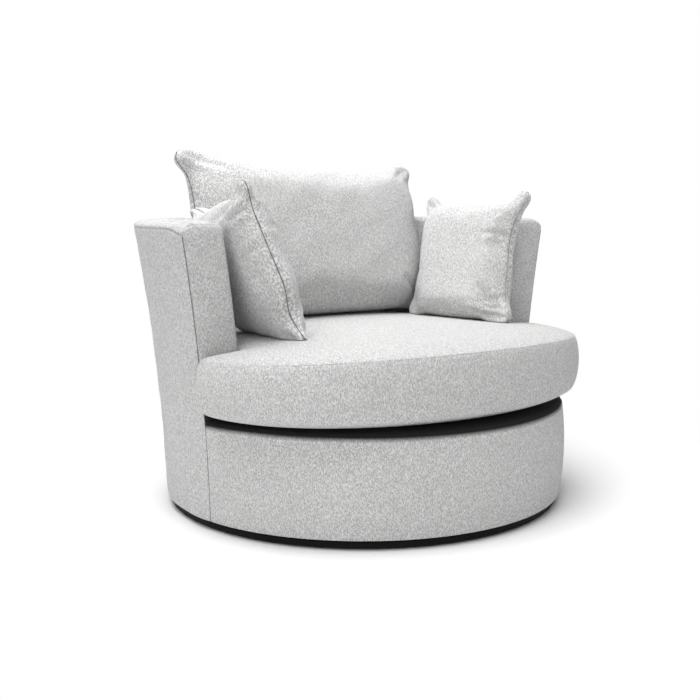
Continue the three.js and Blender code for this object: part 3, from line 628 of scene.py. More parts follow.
class Finish:
    """A material and the one method that makes its nodes."""

    def __init__(self, name, colour_value, roughness, metallic=0.0, specular=0.5, sheen=0.0):
        self.material = bpy.data.materials.new(name)
        self.material.use_nodes = True
        self.tree = self.material.node_tree
        self.shader = self.tree.nodes["Principled BSDF"]
        self.shader.inputs["Base Color"].default_value = (*colour_value, 1.0)
        self.shader.inputs["Roughness"].default_value = roughness
        self.shader.inputs["Metallic"].default_value = metallic
        self.shader.inputs["Specular IOR Level"].default_value = specular
        self.shader.inputs["Sheen Weight"].default_value = sheen
        self.shader.inputs["Sheen Roughness"].default_value = 0.6

    def feed(self, socket, value):
        """Gives a socket its value or link."""
        if isinstance(value, Term):
            self.tree.links.new(value.socket, socket)
        else:
            socket.default_value = value

    def add(self, kind, settings=None, values=None, output=0):
        """A node with its settings, and the values or links of its sockets."""
        node = self.tree.nodes.new(kind)
        for key, value in (settings or {}).items():
            if key == "stops":
                ramp = node.color_ramp.elements
                for element, (place, shade) in zip((ramp[0], ramp[1]), value):
                    element.position = place
                    element.color = shade
            else:
                setattr(node, key, value)
        for key, value in (values or {}).items():
            self.feed(node.inputs[key], value)
        return Term(self, node.outputs[output])

    def object_point(self):
        """Object coordinates, in metres."""
        return self.add("ShaderNodeTexCoord", output="Object")

    def split(self, vector):
        """The three parts of a vector."""
        node = self.tree.nodes.new("ShaderNodeSeparateXYZ")
        self.tree.links.new(vector.socket, node.inputs[0])
        return [Term(self, node.outputs[i]) for i in range(3)]

    def joined(self, x, y, z=0.0):
        """A vector from three parts."""
        return self.add("ShaderNodeCombineXYZ", values={0: x, 1: y, 2: z})

    def noise(self, vector, scale, detail=2.0, roughness=0.5):
        """Soft noise between 0 and 1."""
        values = {"Vector": vector, "Scale": scale, "Detail": detail, "Roughness": roughness}
        return self.add("ShaderNodeTexNoise", {"noise_dimensions": "3D"}, values, "Fac")

    def blend(self, factor, low, high):
        """A colour between two colours."""
        values = {"Factor": factor, "A": low, "B": high}
        node = self.tree.nodes.new("ShaderNodeMix")
        node.data_type = "RGBA"
        self.feed(node.inputs["Factor"], values["Factor"])
        self.feed(node.inputs[6], low)
        self.feed(node.inputs[7], high)
        return Term(self, node.outputs[2])

    def paint(self, factor, low, high):
        """Varies the base colour."""
        self.feed(self.shader.inputs["Base Color"], self.blend(factor, (*low, 1.0), (*high, 1.0)))

    def rough(self, factor, low, high):
        """Varies the roughness."""
        self.feed(self.shader.inputs["Roughness"], factor * (high - low) + low)

    def bump(self, height, distance, strength=1.0):
        """Raises the surface by a height."""
        values = {"Height": height, "Distance": distance, "Strength": strength}
        self.feed(self.shader.inputs["Normal"], self.add("ShaderNodeBump", values=values))


def cover_cloth(name, look, mapped=True, shade=1.0, shadow=None):
    """Plain linen-look weave with slubs both ways; given a shadow band of heights, it is darkened there with painted
    shade towards the platform cloth's black.
    """
    finish = Finish(name, (0.6, 0.6, 0.59), 0.92, specular=0.25, sheen=0.12)
    if mapped:
        place = finish.add("ShaderNodeUVMap", {"uv_map": WEAVE_MAP})
    else:
        place = finish.object_point()
    u, v, w = finish.split(place)
    if not mapped:
        u = u + w * 0.37
        v = v + w * 0.71
    thin = 1.0 / look.slub_width
    long = 1.0 / look.slub_length
    warp = finish.noise(finish.joined(u * thin, v * long, 3.7), 1.0, 0.0, 0.5)
    weft = finish.noise(finish.joined(u * (long * 1.4), v * (thin * 1.1), 11.3), 1.0, 0.0, 0.5)
    patchy = finish.noise(finish.joined(u, v, 5.1), 38.0, 2.0, 0.5)
    speckle = finish.noise(finish.joined(u, v, 8.9), 680.0, 0.0, 0.5)
    beat = math.pi / look.yarn
    over = ((u * beat).sine() * (v * beat).sine()).over(0.0)
    warp_yarn = (v * beat).sine().absolute() * over
    weft_yarn = (u * beat).sine().absolute() * (1.0 - over)
    yarn = warp_yarn + weft_yarn
    tone = (warp - 0.5) * 1.5 + (weft - 0.5) * 0.7 + (speckle - 0.5) * 0.8
    tone = tone * (patchy * 1.4 + 0.3).clamped() * look.contrast + yarn * 0.16 + (patchy - 0.5) * 0.08 + 0.35
    dark, light = ([shade * value for value in side] for side in (look.dark, look.light))
    cloth = finish.blend(tone.clamped(), (*dark, 1.0), (*light, 1.0))
    # Painted shadow: over the band the colour fades to the platform cloth's black, standing in for the seat cushion's
    # shadow on the border's rolled edge.
    if shadow:
        low, high = shadow
        height = finish.split(finish.object_point())[2]
        cloth = finish.blend(((height - low) / (high - low)).clamped(), cloth, (*look.platform, 1.0))
    finish.feed(finish.shader.inputs["Base Color"], cloth)
    finish.bump(yarn * 0.4 + warp * look.relief + weft * (0.85 * look.relief), 0.0013, 0.9)
    return finish.material


def platform_cloth(name, look):
    """Matt black cloth on the deck, also used as painted shade at the arm fronts' foot and on the border's roll."""
    finish = Finish(name, look.platform, 0.95, specular=0.1)
    place = finish.object_point()
    weave = finish.noise(place, 900.0, 1.0)
    finish.paint(weave, look.platform, tuple(2.2 * value for value in look.platform))
    finish.bump(weave, 0.0004, 0.5)
    return finish.material


def black_board(name):
    """Board painted matt black, with a little scuffing."""
    finish = Finish(name, (0.008, 0.008, 0.009), 0.55, specular=0.08)
    scuff = finish.noise(finish.object_point(), 34.0, 4.0, 0.7)
    finish.paint(scuff, (0.004, 0.004, 0.0045), (0.009, 0.009, 0.0095))
    finish.rough(scuff, 0.5, 0.75)
    finish.bump(scuff, 0.0004, 0.3)
    return finish.material


def nylon(name):
    """Dark nylon with a fine mould texture."""
    finish = Finish(name, (0.04, 0.04, 0.042), 0.5)
    grain = finish.noise(finish.object_point(), 1500.0, 1.0)
    finish.rough(grain, 0.42, 0.6)
    finish.bump(grain, 0.0001, 0.4)
    return finish.material


def zinc(name):
    """Zinc-plated steel with faint spangle and handling marks."""
    finish = Finish(name, (0.5, 0.51, 0.53), 0.35, metallic=1.0)
    place = finish.object_point()
    cells = finish.add("ShaderNodeTexVoronoi", {"feature": "F1"}, {"Vector": place, "Scale": 160.0}, "Color")
    spangle = finish.split(cells)[0]
    smear = finish.noise(place, 40.0, 3.0)
    finish.paint(spangle * 0.5 + smear * 0.5, (0.4, 0.41, 0.43), (0.62, 0.63, 0.64))
    finish.rough(smear, 0.28, 0.5)
    return finish.material


def timber(name):
    """Pale softwood and ply with long grain."""
    finish = Finish(name, (0.58, 0.39, 0.19), 0.7)
    x, y, z = finish.split(finish.object_point())
    knots = finish.noise(finish.joined(x * 3.0, y * 3.0, z * 0.6), 4.0, 3.0)
    rings = ((x + y + knots * 0.12) * 260.0).sine() * 0.5 + 0.5
    pores = finish.noise(finish.joined(x * 22.0, y * 22.0, z * 1.5), 30.0, 2.0)
    grain = rings * 0.6 + pores * 0.4
    finish.paint(grain, (0.42, 0.25, 0.11), (0.68, 0.48, 0.26))
    finish.rough(pores, 0.6, 0.82)
    finish.bump(grain, 0.0003, 0.4)
    return finish.material


def hardboard(name):
    """Brown hardboard with pressed fibres."""
    finish = Finish(name, (0.32, 0.17, 0.08), 0.75)
    fibres = finish.noise(finish.object_point(), 420.0, 3.0, 0.7)
    finish.paint(fibres, (0.2, 0.1, 0.045), (0.4, 0.23, 0.11))
    finish.bump(fibres, 0.0003, 0.5)
    return finish.material


def foam(name):
    """Cream upholstery foam with open cells."""
    finish = Finish(name, (0.79, 0.72, 0.43), 0.95, specular=0.1)
    cells = finish.add(
        "ShaderNodeTexVoronoi", {"feature": "F1"}, {"Vector": finish.object_point(), "Scale": 700.0}, "Distance"
    )
    finish.paint(cells.clamped(), (0.5, 0.42, 0.2), (0.84, 0.77, 0.5))
    finish.bump(cells, 0.0006, 0.6)
    return finish.material


def fibre(name):
    """White polyester filling in tufts."""
    finish = Finish(name, (0.88, 0.88, 0.87), 0.98, specular=0.1, sheen=0.3)
    tufts = finish.noise(finish.object_point(), 75.0, 5.0, 0.65)
    finish.paint(tufts, (0.7, 0.7, 0.69), (0.92, 0.92, 0.91))
    finish.bump(tufts, 0.006, 0.7)
    return finish.material


def zip_tape(name):
    """Grey zip tape with a fine herringbone."""
    finish = Finish(name, (0.33, 0.33, 0.33), 0.85, specular=0.2)
    x, y, z = finish.split(finish.object_point())
    bone = ((x + y + z) * 2400.0).sine() * 0.5 + 0.5
    finish.paint(bone, (0.26, 0.26, 0.26), (0.4, 0.4, 0.4))
    finish.bump(bone, 0.0002, 0.5)
    return finish.material


MATERIALS = {}


def materials(scene):
    """All finishes, made once."""
    if MATERIALS:
        return MATERIALS
    look = scene.cuddle_cloth
    MATERIALS.update(
        cover=cover_cloth("cover cloth", look),
        cord=cover_cloth("cover cloth, cord", look, mapped=False),
        # Painted shade: a darkened copy of the cover cloth, for the cords that stand in for the shadow in the seams'
        # grooves.
        seam=cover_cloth("cover cloth, in a seam", look, mapped=False, shade=0.3),
        # The border's cloth carries a painted shadow just below the deck's height, where the seat cushion shades its
        # rolled edge.
        border=cover_cloth("cover cloth, rolled under", look, shadow=(DECK_HEIGHT - 0.019, DECK_HEIGHT - 0.008)),
        platform=platform_cloth("platform cloth", look),
        plinth=black_board("black board"),
        glide=nylon("dark nylon"),
        steel=zinc("zinc-plated steel"),
        timber=timber("pale timber"),
        panel=hardboard("hardboard"),
        foam=foam("upholstery foam"),
        fibre=fibre("fibre filling"),
        zip=zip_tape("zip tape"),
    )
    return MATERIALS


# The tub's surfaces, about the swivel axis
class Tub:
    """The drum and tub as smooth surfaces."""

    def __init__(self, sizes):
        self.sizes = sizes
        self.foot_radius = RIM_RADIUS / (1.0 + sizes.flare_linear + sizes.flare_square)

    def rise(self, z):
        """0 at the hem and 1 at the rim's seam."""
        return np.clip((z - HEM_HEIGHT) / (RIM_SEAM_HEIGHT - HEM_HEIGHT), 0.0, 1.0)

    def radius(self, z):
        """Radius of the outer face."""
        rise = self.rise(z)
        return self.foot_radius * (1.0 + self.sizes.flare_linear * rise + self.sizes.flare_square * rise**2)

    def front(self, z):
        """Plane of the arm fronts."""
        return -(self.sizes.front_depth + self.sizes.front_lean * self.rise(z))

    def outer(self, station, z):
        """A point of the outer face: station -1 is the right front and 2 the left front."""
        radius = self.radius(z)
        start = np.arcsin(self.front(z) / radius)
        angle = np.where(station < 0.0, -start * station, math.pi * station)
        angle = np.where(station > 1.0, math.pi - start * (station - 1.0), angle)
        return np.stack([radius * np.cos(angle), radius * np.sin(angle), z + 0.0 * angle], axis=-1)

    def half_width(self, z):
        """Half the width between the arms."""
        return self.radius(z) - self.sizes.arm_width

    def inner(self, station, z):
        """A point of the inner face at the same stations."""
        a = self.half_width(z)
        b = self.radius(z) - self.sizes.back_width
        turn = math.pi * np.clip(station, 0.0, 1.0)
        shape = 2.0 / self.sizes.inner_power
        x = a * power(np.cos(turn), shape)
        y = b * np.maximum(np.sin(turn), 0.0) ** shape
        y = np.where(station < 0.0, -self.front(z) * station, y)
        y = np.where(station > 1.0, self.front(z) * (station - 1.0), y)
        return np.stack([x, y, z + 0.0 * x], axis=-1)

    def front_distance(self, station, z):
        """Distance from the nearer arm front, along the wall."""
        near = np.minimum(np.abs(station + 1.0), np.abs(2.0 - station))
        return near * -self.front(z)

    def corner(self, z):
        """1 where the arm fronts stand above the border, 0 beside the border."""
        return np.clip((z - DECK_HEIGHT + self.sizes.border_round) / (2.0 * self.sizes.border_round), 0.0, 1.0)

    def seam_height(self, station):
        """Height of the rim's seam, which drops at the arm fronts' corners."""
        distance = self.front_distance(station, RIM_SEAM_HEIGHT)
        drop = self.sizes.corner_dip * np.exp(-((distance / self.sizes.corner_run) ** 2))
        return RIM_SEAM_HEIGHT - drop


def tub_stations(front_count=30, arc_count=170):
    """Stations round the tub, closer together at the arm fronts."""
    return np.concatenate(
        [
            eased(-1.0, 0.0, front_count),
            steps(0.0, 1.0, arc_count)[1:],
            eased(1.0, 2.0, front_count)[1:],
        ]
    )


def placed(points):
    """Moves points from the swivel axis into the row's frame."""
    return points + np.array([0.0, AXIS_Y, 0.0])


def outside_cover(tub):
    """The outer cover: hem, flared wall and the roll into the rim's seam."""
    sizes = tub.sizes
    station = tub_stations()[None, :]
    share_up = eased(0.0, 1.0, 80)[:, None]
    top = tub.seam_height(station)
    z = HEM_HEIGHT + (top - HEM_HEIGHT) * share_up
    points = tub.outer(station, z)
    front_gap = tub.front_distance(station, z)
    run = lengths(points, 1)
    wave = ripple(run, z, 3) * (1.0 - fade(front_gap, 0.03)) * (1.0 - fade(top - z, 0.03))
    corner = tub.corner(z)
    inset = tuck(top - z, sizes) + sizes.seam_depth * fade(z - HEM_HEIGHT, sizes.seam_run)
    inset = inset + roll(front_gap, sizes) * corner + tuck(front_gap, sizes) * (1.0 - corner)
    scale = 1.0 - (inset - sizes.ripple * wave) / tub.radius(z)
    points[..., :2] *= scale[..., None]
    points[..., 1] += roll(front_gap, sizes) * corner
    return thicken(sew("outside_cover_cloth", [patch(placed(points))], closed=False), 1.6 * MILLIMETRE)


def rim_share(count):
    """Angles over the rim's arch, closer together at its seams."""
    return steps(0.0, math.pi, count)


def rim_arch(tub, station, angle):
    """The rim from its outer seam over its crown to the inner face."""
    sizes = tub.sizes
    base = tub.seam_height(station)
    across = power(np.cos(angle), 2.0 / sizes.rim_power)
    lift = np.maximum(np.sin(angle), 0.0) ** (2.0 / sizes.rim_power)
    mix = ((1.0 - across) / 2.0)[..., None]
    foot = base * (1.0 - mix[..., 0]) + RIM_SEAM_HEIGHT * mix[..., 0]
    outer = tub.outer(station, base)
    inner = tub.inner(station, RIM_SEAM_HEIGHT + 0.0 * station)
    rim = outer * (1.0 - mix) + inner * mix
    crown = RIM_SEAM_HEIGHT + sizes.rim_crown
    crown = crown - 0.5 * sizes.corner_dip * fade(tub.front_distance(station, base), 0.5 * sizes.corner_run)
    rim[..., 2] = foot + (crown - foot) * lift
    return rim


def rim_padding(tub):
    """The wadding under the rim's cover."""
    station = tub_stations()
    station = station[(station > -0.95) & (station < 1.95)][None, :]
    rim = rim_arch(tub, station, rim_share(24)[:, None])
    rim = rim - normals_of(rim) * 4.5 * MILLIMETRE
    keep = rim[1:-1]
    floor = keep[[0, -1]].copy()
    floor[..., 2] = np.minimum(floor[..., 2], RIM_SEAM_HEIGHT + 0.3 * MILLIMETRE)
    grid = np.concatenate([floor[:1], keep, floor[1:], floor[:1]])
    return sew("rim_wadding", [patch(placed(grid))])


def inside_cover(tub):
    """The rim's crowned top and the tub's inner face in one cover."""
    sizes = tub.sizes
    station = tub_stations()[None, :]
    rim = rim_arch(tub, station, rim_share(40)[:, None])
    z = (RIM_SEAM_HEIGHT + (SEAT_FLOOR - RIM_SEAM_HEIGHT) * eased(0.0, 1.0, 40)[1:])[:, None]
    wall = tub.inner(station, z)
    points = np.concatenate([rim, wall], axis=0)
    run = lengths(points, 1)
    fall = lengths(points, 0)
    gap = tub.front_distance(station, points[..., 2])
    inset = tuck(fall, sizes) + roll(gap, sizes)
    wave = ripple(run, fall, 5) * (1.0 - fade(gap, 0.03)) * (1.0 - fade(fall, 0.02))
    normal = normals_of(points)
    points = points - normal * (inset - sizes.ripple * wave)[..., None]
    points[..., 1] += roll(gap, sizes)
    return thicken(sew("inside_cover_cloth", [patch(placed(points))], closed=False), 1.6 * MILLIMETRE)


def facing_grid(tub, side):
    """The arm front as columns that run up to the arch."""
    sizes = tub.sizes
    angle = rim_share(48)[None, :]
    across = power(np.cos(angle), 2.0 / sizes.rim_power)
    lift = np.maximum(np.sin(angle), 0.0) ** (2.0 / sizes.rim_power)
    mix = (1.0 - across) / 2.0
    outer_base = RIM_SEAM_HEIGHT - sizes.corner_dip
    base = outer_base * (1.0 - mix) + RIM_SEAM_HEIGHT * mix
    crown = RIM_SEAM_HEIGHT + sizes.rim_crown - 0.5 * sizes.corner_dip
    top = base + (crown - base) * lift
    low = DECK_HEIGHT - 1.3 * sizes.border_round
    z = low + (top - low) * eased(0.0, 1.0, 64)[:, None]
    level = np.minimum(z, base)
    front = tub.front(level)
    outer = np.sqrt(tub.radius(level) ** 2 - front**2)
    inner = tub.half_width(level)
    x = outer * (1.0 - mix) + inner * mix
    return np.stack([side * x, front + 0.0 * x, z], axis=-1), mix, top


def arm_facing(tub, side, name):
    """One arm front, softly crowned and rolled in at its seams, and black platform cloth at its foot: real decking
    that also stands in as painted shade for the seat cushion's shadow there.
    """
    sizes = tub.sizes
    points, mix, top = facing_grid(tub, side)
    outer_gap = mix * sizes.arm_width
    inner_gap = (1.0 - mix) * sizes.arm_width
    top_gap = top - points[..., 2]
    edge = np.minimum(np.minimum(outer_gap, inner_gap), top_gap)
    crown = 0.0035 * (1.0 - fade(edge, 0.014))
    wave = 0.6 * sizes.ripple * ripple(points[..., 0], points[..., 2], int(7 + side)) * (1.0 - fade(edge, 0.02))
    points[..., 1] += roll(edge, sizes) - crown - wave
    points[..., 0] += side * (roll(inner_gap, sizes) - roll(outer_gap, sizes))
    points[..., 2] -= roll(top_gap, sizes)
    points = placed(points)
    foot = int(np.searchsorted(points[:, 24, 2], SEAT_FLOOR + sizes.foot_height))
    cover = sew(f"{name}_cloth", [patch(points[foot:], flip=side > 0)], closed=False)
    # Black cloth below the seat's level: decking, and painted shade for the seat cushion's shadow.
    platform = sew(f"{name}_foot_decking_and_shade_cloth", [patch(points[: foot + 1], flip=side > 0)], closed=False)
    return thicken(cover, 1.6 * MILLIMETRE), thicken(platform, 1.6 * MILLIMETRE)


def arm_seam(tub, station):
    """The seam from the hem to the rim where the outer cover meets the arm front and the border."""
    sizes = tub.sizes
    z = steps(HEM_HEIGHT + 2.0 * MILLIMETRE, float(tub.seam_height(np.array(station))) - sizes.roll_depth, 90)
    corner = tub.corner(z)
    depth = sizes.roll_depth * corner + (sizes.seam_depth + sizes.tuck_depth) * (1.0 - corner)
    rise = sizes.cord_rise * sizes.seam_cord
    points = tub.outer(np.full_like(z, station), z)
    points[:, :2] *= (1.0 - (depth - rise) / tub.radius(z))[:, None]
    points[:, 1] += (sizes.roll_depth - rise) * corner
    return placed(points)


def border_grid(tub):
    """The drum's front below the seat, over its rounded edge and in to the deck."""
    sizes = tub.sizes
    station = eased(0.0, 1.0, 150)[None, :]
    edge = DECK_HEIGHT - sizes.border_round
    face = HEM_HEIGHT + (edge - HEM_HEIGHT) * eased(0.0, 1.0, 34)
    turn = steps(0.0, math.pi / 2, 16)[1:]
    lip = steps(0.0, 0.03, 5)[1:]
    z = np.concatenate([face, edge + sizes.border_round * np.sin(turn), DECK_HEIGHT + 0.0 * lip])[:, None]
    inset = np.concatenate([0.0 * face, sizes.border_round * (1.0 - np.cos(turn)), sizes.border_round + lip])[:, None]
    level = np.minimum(z, edge)
    barrel = sizes.border_barrel * np.sin(math.pi * (level - HEM_HEIGHT) / (edge - HEM_HEIGHT))
    end = np.abs(2.0 * station - 1.0) ** 6
    radius = (tub.foot_radius + barrel) * (1.0 - end) + tub.radius(level) * end - inset
    start = np.arcsin(tub.front(z) / radius)
    angle = start - (math.pi + 2.0 * start) * station
    gap = np.minimum(station, 1.0 - station) * (math.pi + 2.0 * start) * radius
    return radius, angle, z, gap, inset


def front_border(tub):
    """The border's cover up to the crest of its roll, and black platform cloth from there to the deck: real decking
    that also stands in as painted shade on the roll under the seat cushion.
    """
    sizes = tub.sizes
    radius, angle, z, gap, inset = border_grid(tub)
    wave = ripple(angle * radius, z + inset, 13) * (1.0 - fade(gap, 0.03)) * (1.0 - fade(z - HEM_HEIGHT, 0.02))
    roll = tuck(gap, sizes) + sizes.seam_depth * fade(z - HEM_HEIGHT, sizes.seam_run)
    radius = radius - roll + sizes.ripple * wave * (inset < 0.001)
    points = np.stack([radius * np.cos(angle), radius * np.sin(angle), z + 0.0 * radius], axis=-1)
    points = placed(points)
    # Painted shade: from the crest of the roll the cover gives way to black cloth, where the seat cushion's shadow
    # falls.
    seam = int(np.searchsorted(inset[:, 0], sizes.platform_start * sizes.border_round, side="right"))
    cover = sew("front_border_cloth", [patch(points[: seam + 1], flip=True)], closed=False)
    platform = sew("border_platform_cloth", [patch(points[seam:], flip=True)], closed=False)
    return thicken(cover, 1.6 * MILLIMETRE), thicken(platform, 1.6 * MILLIMETRE)


def deck_pad(tub):
    """The black deck: a thin pad inside the tub, with a flap of cloth to the border's front edge."""
    low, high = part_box("deck_pad")
    pad_radius = high.x
    flap_radius = tub.foot_radius - tub.sizes.border_round
    turn = steps(0.0, math.tau, 181)[None, :]
    facing = tub.front(DECK_HEIGHT)
    forward = np.clip((facing - 0.002 - pad_radius * np.sin(turn)) / 0.008, 0.0, 1.0)
    reach = pad_radius + (flap_radius - pad_radius) * forward**2 * (3.0 - 2.0 * forward)
    cloth = 1.3 * MILLIMETRE
    lift = 0.3 * MILLIMETRE
    rows = [
        (0.0, low.z),
        (pad_radius, low.z),
        (pad_radius, DECK_HEIGHT + lift),
        (reach, DECK_HEIGHT + lift),
        (reach, DECK_HEIGHT + lift + cloth),
        (0.5 * pad_radius, DECK_HEIGHT + lift + cloth),
        (0.0, DECK_HEIGHT + lift + cloth),
    ]
    grid = [
        np.stack([radius * np.cos(turn[0]), radius * np.sin(turn[0]), height + 0.0 * turn[0]], axis=-1)
        for radius, height in ((np.broadcast_to(r, turn.shape)[0], h) for r, h in rows)
    ]
    return sew("deck_pad_cloth", [patch(placed(np.array(grid)))])


# The seat cushion
class Seat:
    """The T-shaped seat cushion's outline and levels, about the swivel axis."""

    def __init__(self, sizes, tub):
        self.sizes = sizes
        self.tub = tub
        self.wing = tub.front(RIM_SEAM_HEIGHT) - sizes.clearance
        self.middle = self.wing - sizes.edge_run - sizes.corner
        self.seam = SEAT_FLOOR + sizes.edge_rise
        self.crown = SEAT_TOP + 0.5 * MILLIMETRE

    def dome(self, x, y):
        """Height of the cushion's top without its rolled edge."""
        across = x / self.sizes.half_width
        along = (y + self.sizes.centre) / self.sizes.depth
        return self.crown - self.sizes.side_drop * across**2 - self.sizes.front_drop * along**2

    def outline(self, inset, bulge, level):
        """The T outline, drawn in by an inset and grown at its free front by a bulge."""
        sizes = self.sizes
        half_width = sizes.half_width + bulge - inset
        depth = sizes.depth + bulge - inset
        wing = self.wing - inset
        side = self.tub.half_width(level) - sizes.clearance - inset
        rear = self.tub.radius(level) - self.tub.sizes.back_width - sizes.clearance - inset
        corner = max(sizes.corner - inset, sizes.corner / 4.0)
        start = math.asin((corner - wing - sizes.centre) / depth)
        sweep = -start - (math.pi - 2.0 * start) * steps(0.0, 1.0, 220)
        front = np.stack([half_width * np.cos(sweep), depth * np.sin(sweep) - sizes.centre], axis=1)
        tip = front[-1, 0]
        bend = steps(0.0, math.pi / 2, 13)[1:]
        left = np.stack(
            [tip + corner * (1.0 - np.cos(bend)), wing - corner * (1.0 - np.sin(bend))], axis=1
        )
        ledge = np.stack([steps(tip + corner, -side, 15)[1:], np.full(14, wing)], axis=1)
        flank = np.stack([np.full(13, -side), steps(wing, 0.0, 14)[1:]], axis=1)
        turn = math.pi * steps(1.0, 0.0, 151)[1:-1]
        shape = 2.0 / self.tub.sizes.inner_power
        rear_curve = np.stack([side * power(np.cos(turn), shape), rear * np.sin(turn) ** shape], axis=1)
        mirrored = np.concatenate([left, ledge, flank])[::-1] * np.array([-1.0, 1.0])
        return np.concatenate([front, left, ledge, flank, rear_curve, mirrored, front[:1]])


def seat_shell(seat):
    """The cushion's belly, border and top as three sewn panels."""
    sizes = seat.sizes
    middle = np.array([0.0, seat.middle])
    runs = 1.0 - eased(0.0, 1.0, 20)

    def margin(height_at, level):
        rows = []
        for run in runs:
            flat = seat.outline(sizes.edge_run * run, 0.0, level)
            rows.append(np.column_stack([flat, height_at(flat, run)]))
        return rows

    def inward(ring, height_at):
        rows = []
        for part in steps(0.0, 1.0, 13)[:-1]:
            flat = middle + (ring[:, :2] - middle) * part
            rows.append(np.column_stack([flat, height_at(flat, 1.0)]))
        return rows

    def belly_height(flat, run):
        return np.full(len(flat), SEAT_FLOOR + 1.6 * MILLIMETRE + (sizes.edge_rise - 1.6 * MILLIMETRE) * (1.0 - run) ** 2)

    def top_height(flat, run):
        return seat.dome(flat[:, 0], flat[:, 1]) - sizes.edge_drop * (1.0 - run) ** 2

    belly_margin = margin(belly_height, seat.seam)
    belly = np.array(inward(belly_margin[0], belly_height) + belly_margin)
    shoulder = seat.crown - sizes.side_drop - sizes.edge_drop
    top_margin = margin(top_height, shoulder)
    top = np.array(inward(top_margin[0], top_height) + top_margin)
    rim = top_margin[-1]
    border = []
    for part in eased(0.0, 1.0, 30):
        level = seat.seam + (shoulder - seat.seam) * part
        bulge = sizes.bulge * math.sin(math.pi * part) ** 0.7
        flat = seat.outline(0.0, bulge, level)
        border.append(np.column_stack([flat, seat.seam + (rim[:, 2] - seat.seam) * part]))
    border[0] = belly_margin[-1]
    border[-1] = rim
    flat_weave = [grid[..., :2].copy() for grid in (belly, top)]
    return sew(
        "seat_cushion_cloth",
        [
            patch(placed(belly), flat_weave[0], flip=True),
            patch(placed(np.array(border))),
            patch(placed(top), flat_weave[1]),
        ],
    )


def keep_seams(piece, width, depth):
    """Draws the cloth in along the seams, so that each panel swells beside them."""
    mesh = piece.data
    points = positions(mesh)
    loops = seam_loops(mesh)
    if not loops:
        return
    rows = np.concatenate(loops)
    tree = KDTree(len(rows))
    for i, point in enumerate(rows):
        tree.insert(point, i)
    tree.balance()
    near = np.array([tree.find(point)[2] for point in points])
    normal = vertex_normals(mesh)
    set_positions(mesh, points - normal * (depth * np.exp(-near / width))[:, None])


def filling_of(piece, name, middle, share_kept, body, material, node):
    """A filling that fits inside a finished cover, drawn in towards its middle."""
    mesh = piece.data.copy()
    mesh.name = name
    points = positions(mesh)
    set_positions(mesh, middle + share_kept * (points - middle))
    inside = link(name, mesh)
    for face in mesh.polygons:
        face.use_smooth = True
    return finish_piece(inside, body, material, (node,))


# Loose cushions
def pillow_matrix(seat, sizes):
    """From the pillow's own across, up and out to its place on the seat."""
    lean = sizes.lean
    foot = seat.dome(sizes.across, sizes.back) - sizes.settle
    out = Vector((0.0, -math.cos(lean), math.sin(lean)))
    up = Vector((0.0, math.sin(lean), math.cos(lean)))
    stand = Matrix(((1.0, up.x, out.x), (0.0, up.y, out.y), (0.0, up.z, out.z))).to_4x4()
    turn = Matrix.Rotation(sizes.turn, 4, "Z")
    place = Matrix.Translation((sizes.across, sizes.back + AXIS_Y, foot))
    return place @ turn @ stand


def drawn_in(distance, run, sizes):
    """0 along a stuffed corner and 1 where an edge is fully drawn in."""
    part = np.clip((distance - 0.9 * sizes.ear_radius) / run, 0.0, 1.0)
    return part * part * (3.0 - 2.0 * part)


def pillow_shell(name, sizes, spacing, seed):
    """Two swelling sheets that meet at a bowed edge, in the pillow's own frame."""
    columns = int(round(sizes.width / spacing)) + 1
    rows = int(round(sizes.height / spacing)) + 1
    u = eased(-1.0, 1.0, columns)[None, :] * 0.5 + steps(-1.0, 1.0, columns)[None, :] * 0.5
    v = eased(-1.0, 1.0, rows)[:, None] * 0.5 + steps(-1.0, 1.0, rows)[:, None] * 0.5
    half_width, half_height = sizes.width / 2.0, sizes.height / 2.0
    low = sizes.low_corner * np.clip(-2.0 * v, 0.0, 1.0)
    side_pull = drawn_in(half_height * (1.0 - np.abs(v)), sizes.bow_run, sizes)
    top_pull = drawn_in(half_width * (1.0 - np.abs(u)), sizes.top_run, sizes) * (v > 0.0)
    x = u * (half_width - np.where(u < 0.0, sizes.bow, sizes.right_bow) * np.maximum(side_pull, low))
    y = v * (half_height - sizes.top_bow * top_pull)
    round_x = np.abs(x) - (half_width - sizes.ear_radius)
    round_y = np.abs(y) - (half_height - sizes.ear_radius)
    reach = np.hypot(round_x, round_y)
    corner = (round_x > 0.0) & (round_y > 0.0)
    scale = np.where(corner, np.maximum(round_x, round_y) / np.maximum(reach, 1e-9), 1.0)
    x = np.where(corner, np.sign(x) * (half_width - sizes.ear_radius + round_x * scale), x)
    y = np.where(corner, np.sign(y) * (half_height - sizes.ear_radius + round_y * scale), y)
    reach = np.where(corner, reach * scale, reach)
    rise = np.where(v < 0.0, np.abs(v) ** sizes.low_power, v**4)
    fill = np.maximum((1.0 - u**4) * (1.0 - rise), 0.0) ** sizes.pillow_power
    fill = fill * (1.0 - sizes.pinch * np.exp(-((reach / sizes.pinch_run) ** 2)))
    ear = sizes.ear * np.sqrt(np.maximum(1.0 - (reach / sizes.ear_radius) ** 2, 0.0))
    edge = np.minimum(np.minimum(1.0 - np.abs(u), 1.0 - np.abs(v)) * 1e3, 1.0)
    body = (((sizes.bulge - 0.6 * sizes.swell) * fill) ** 3 + ear**3) ** (1.0 / 3.0) * edge
    y = y + half_height
    patches = []
    for side in (1.0, -1.0):
        wave = ripple(x, y, seed + int(side)) * sizes.wave * fill
        grid = np.stack([x, y, side * (body + wave)], axis=2)
        patches.append(patch(grid, np.stack([x, y], axis=2), flip=side < 0))
    return sew(name, patches)


def away_from_corners(points, sizes):
    """0 at the stuffed corners and 1 away from them."""
    across = np.abs(points[:, 0]) - (sizes.width / 2.0 - sizes.ear_radius)
    upward = np.abs(points[:, 1] - sizes.height / 2.0) - (sizes.height / 2.0 - sizes.ear_radius)
    return 1.0 - np.exp(-((np.hypot(across, upward) / (1.8 * sizes.ear_radius)) ** 2))


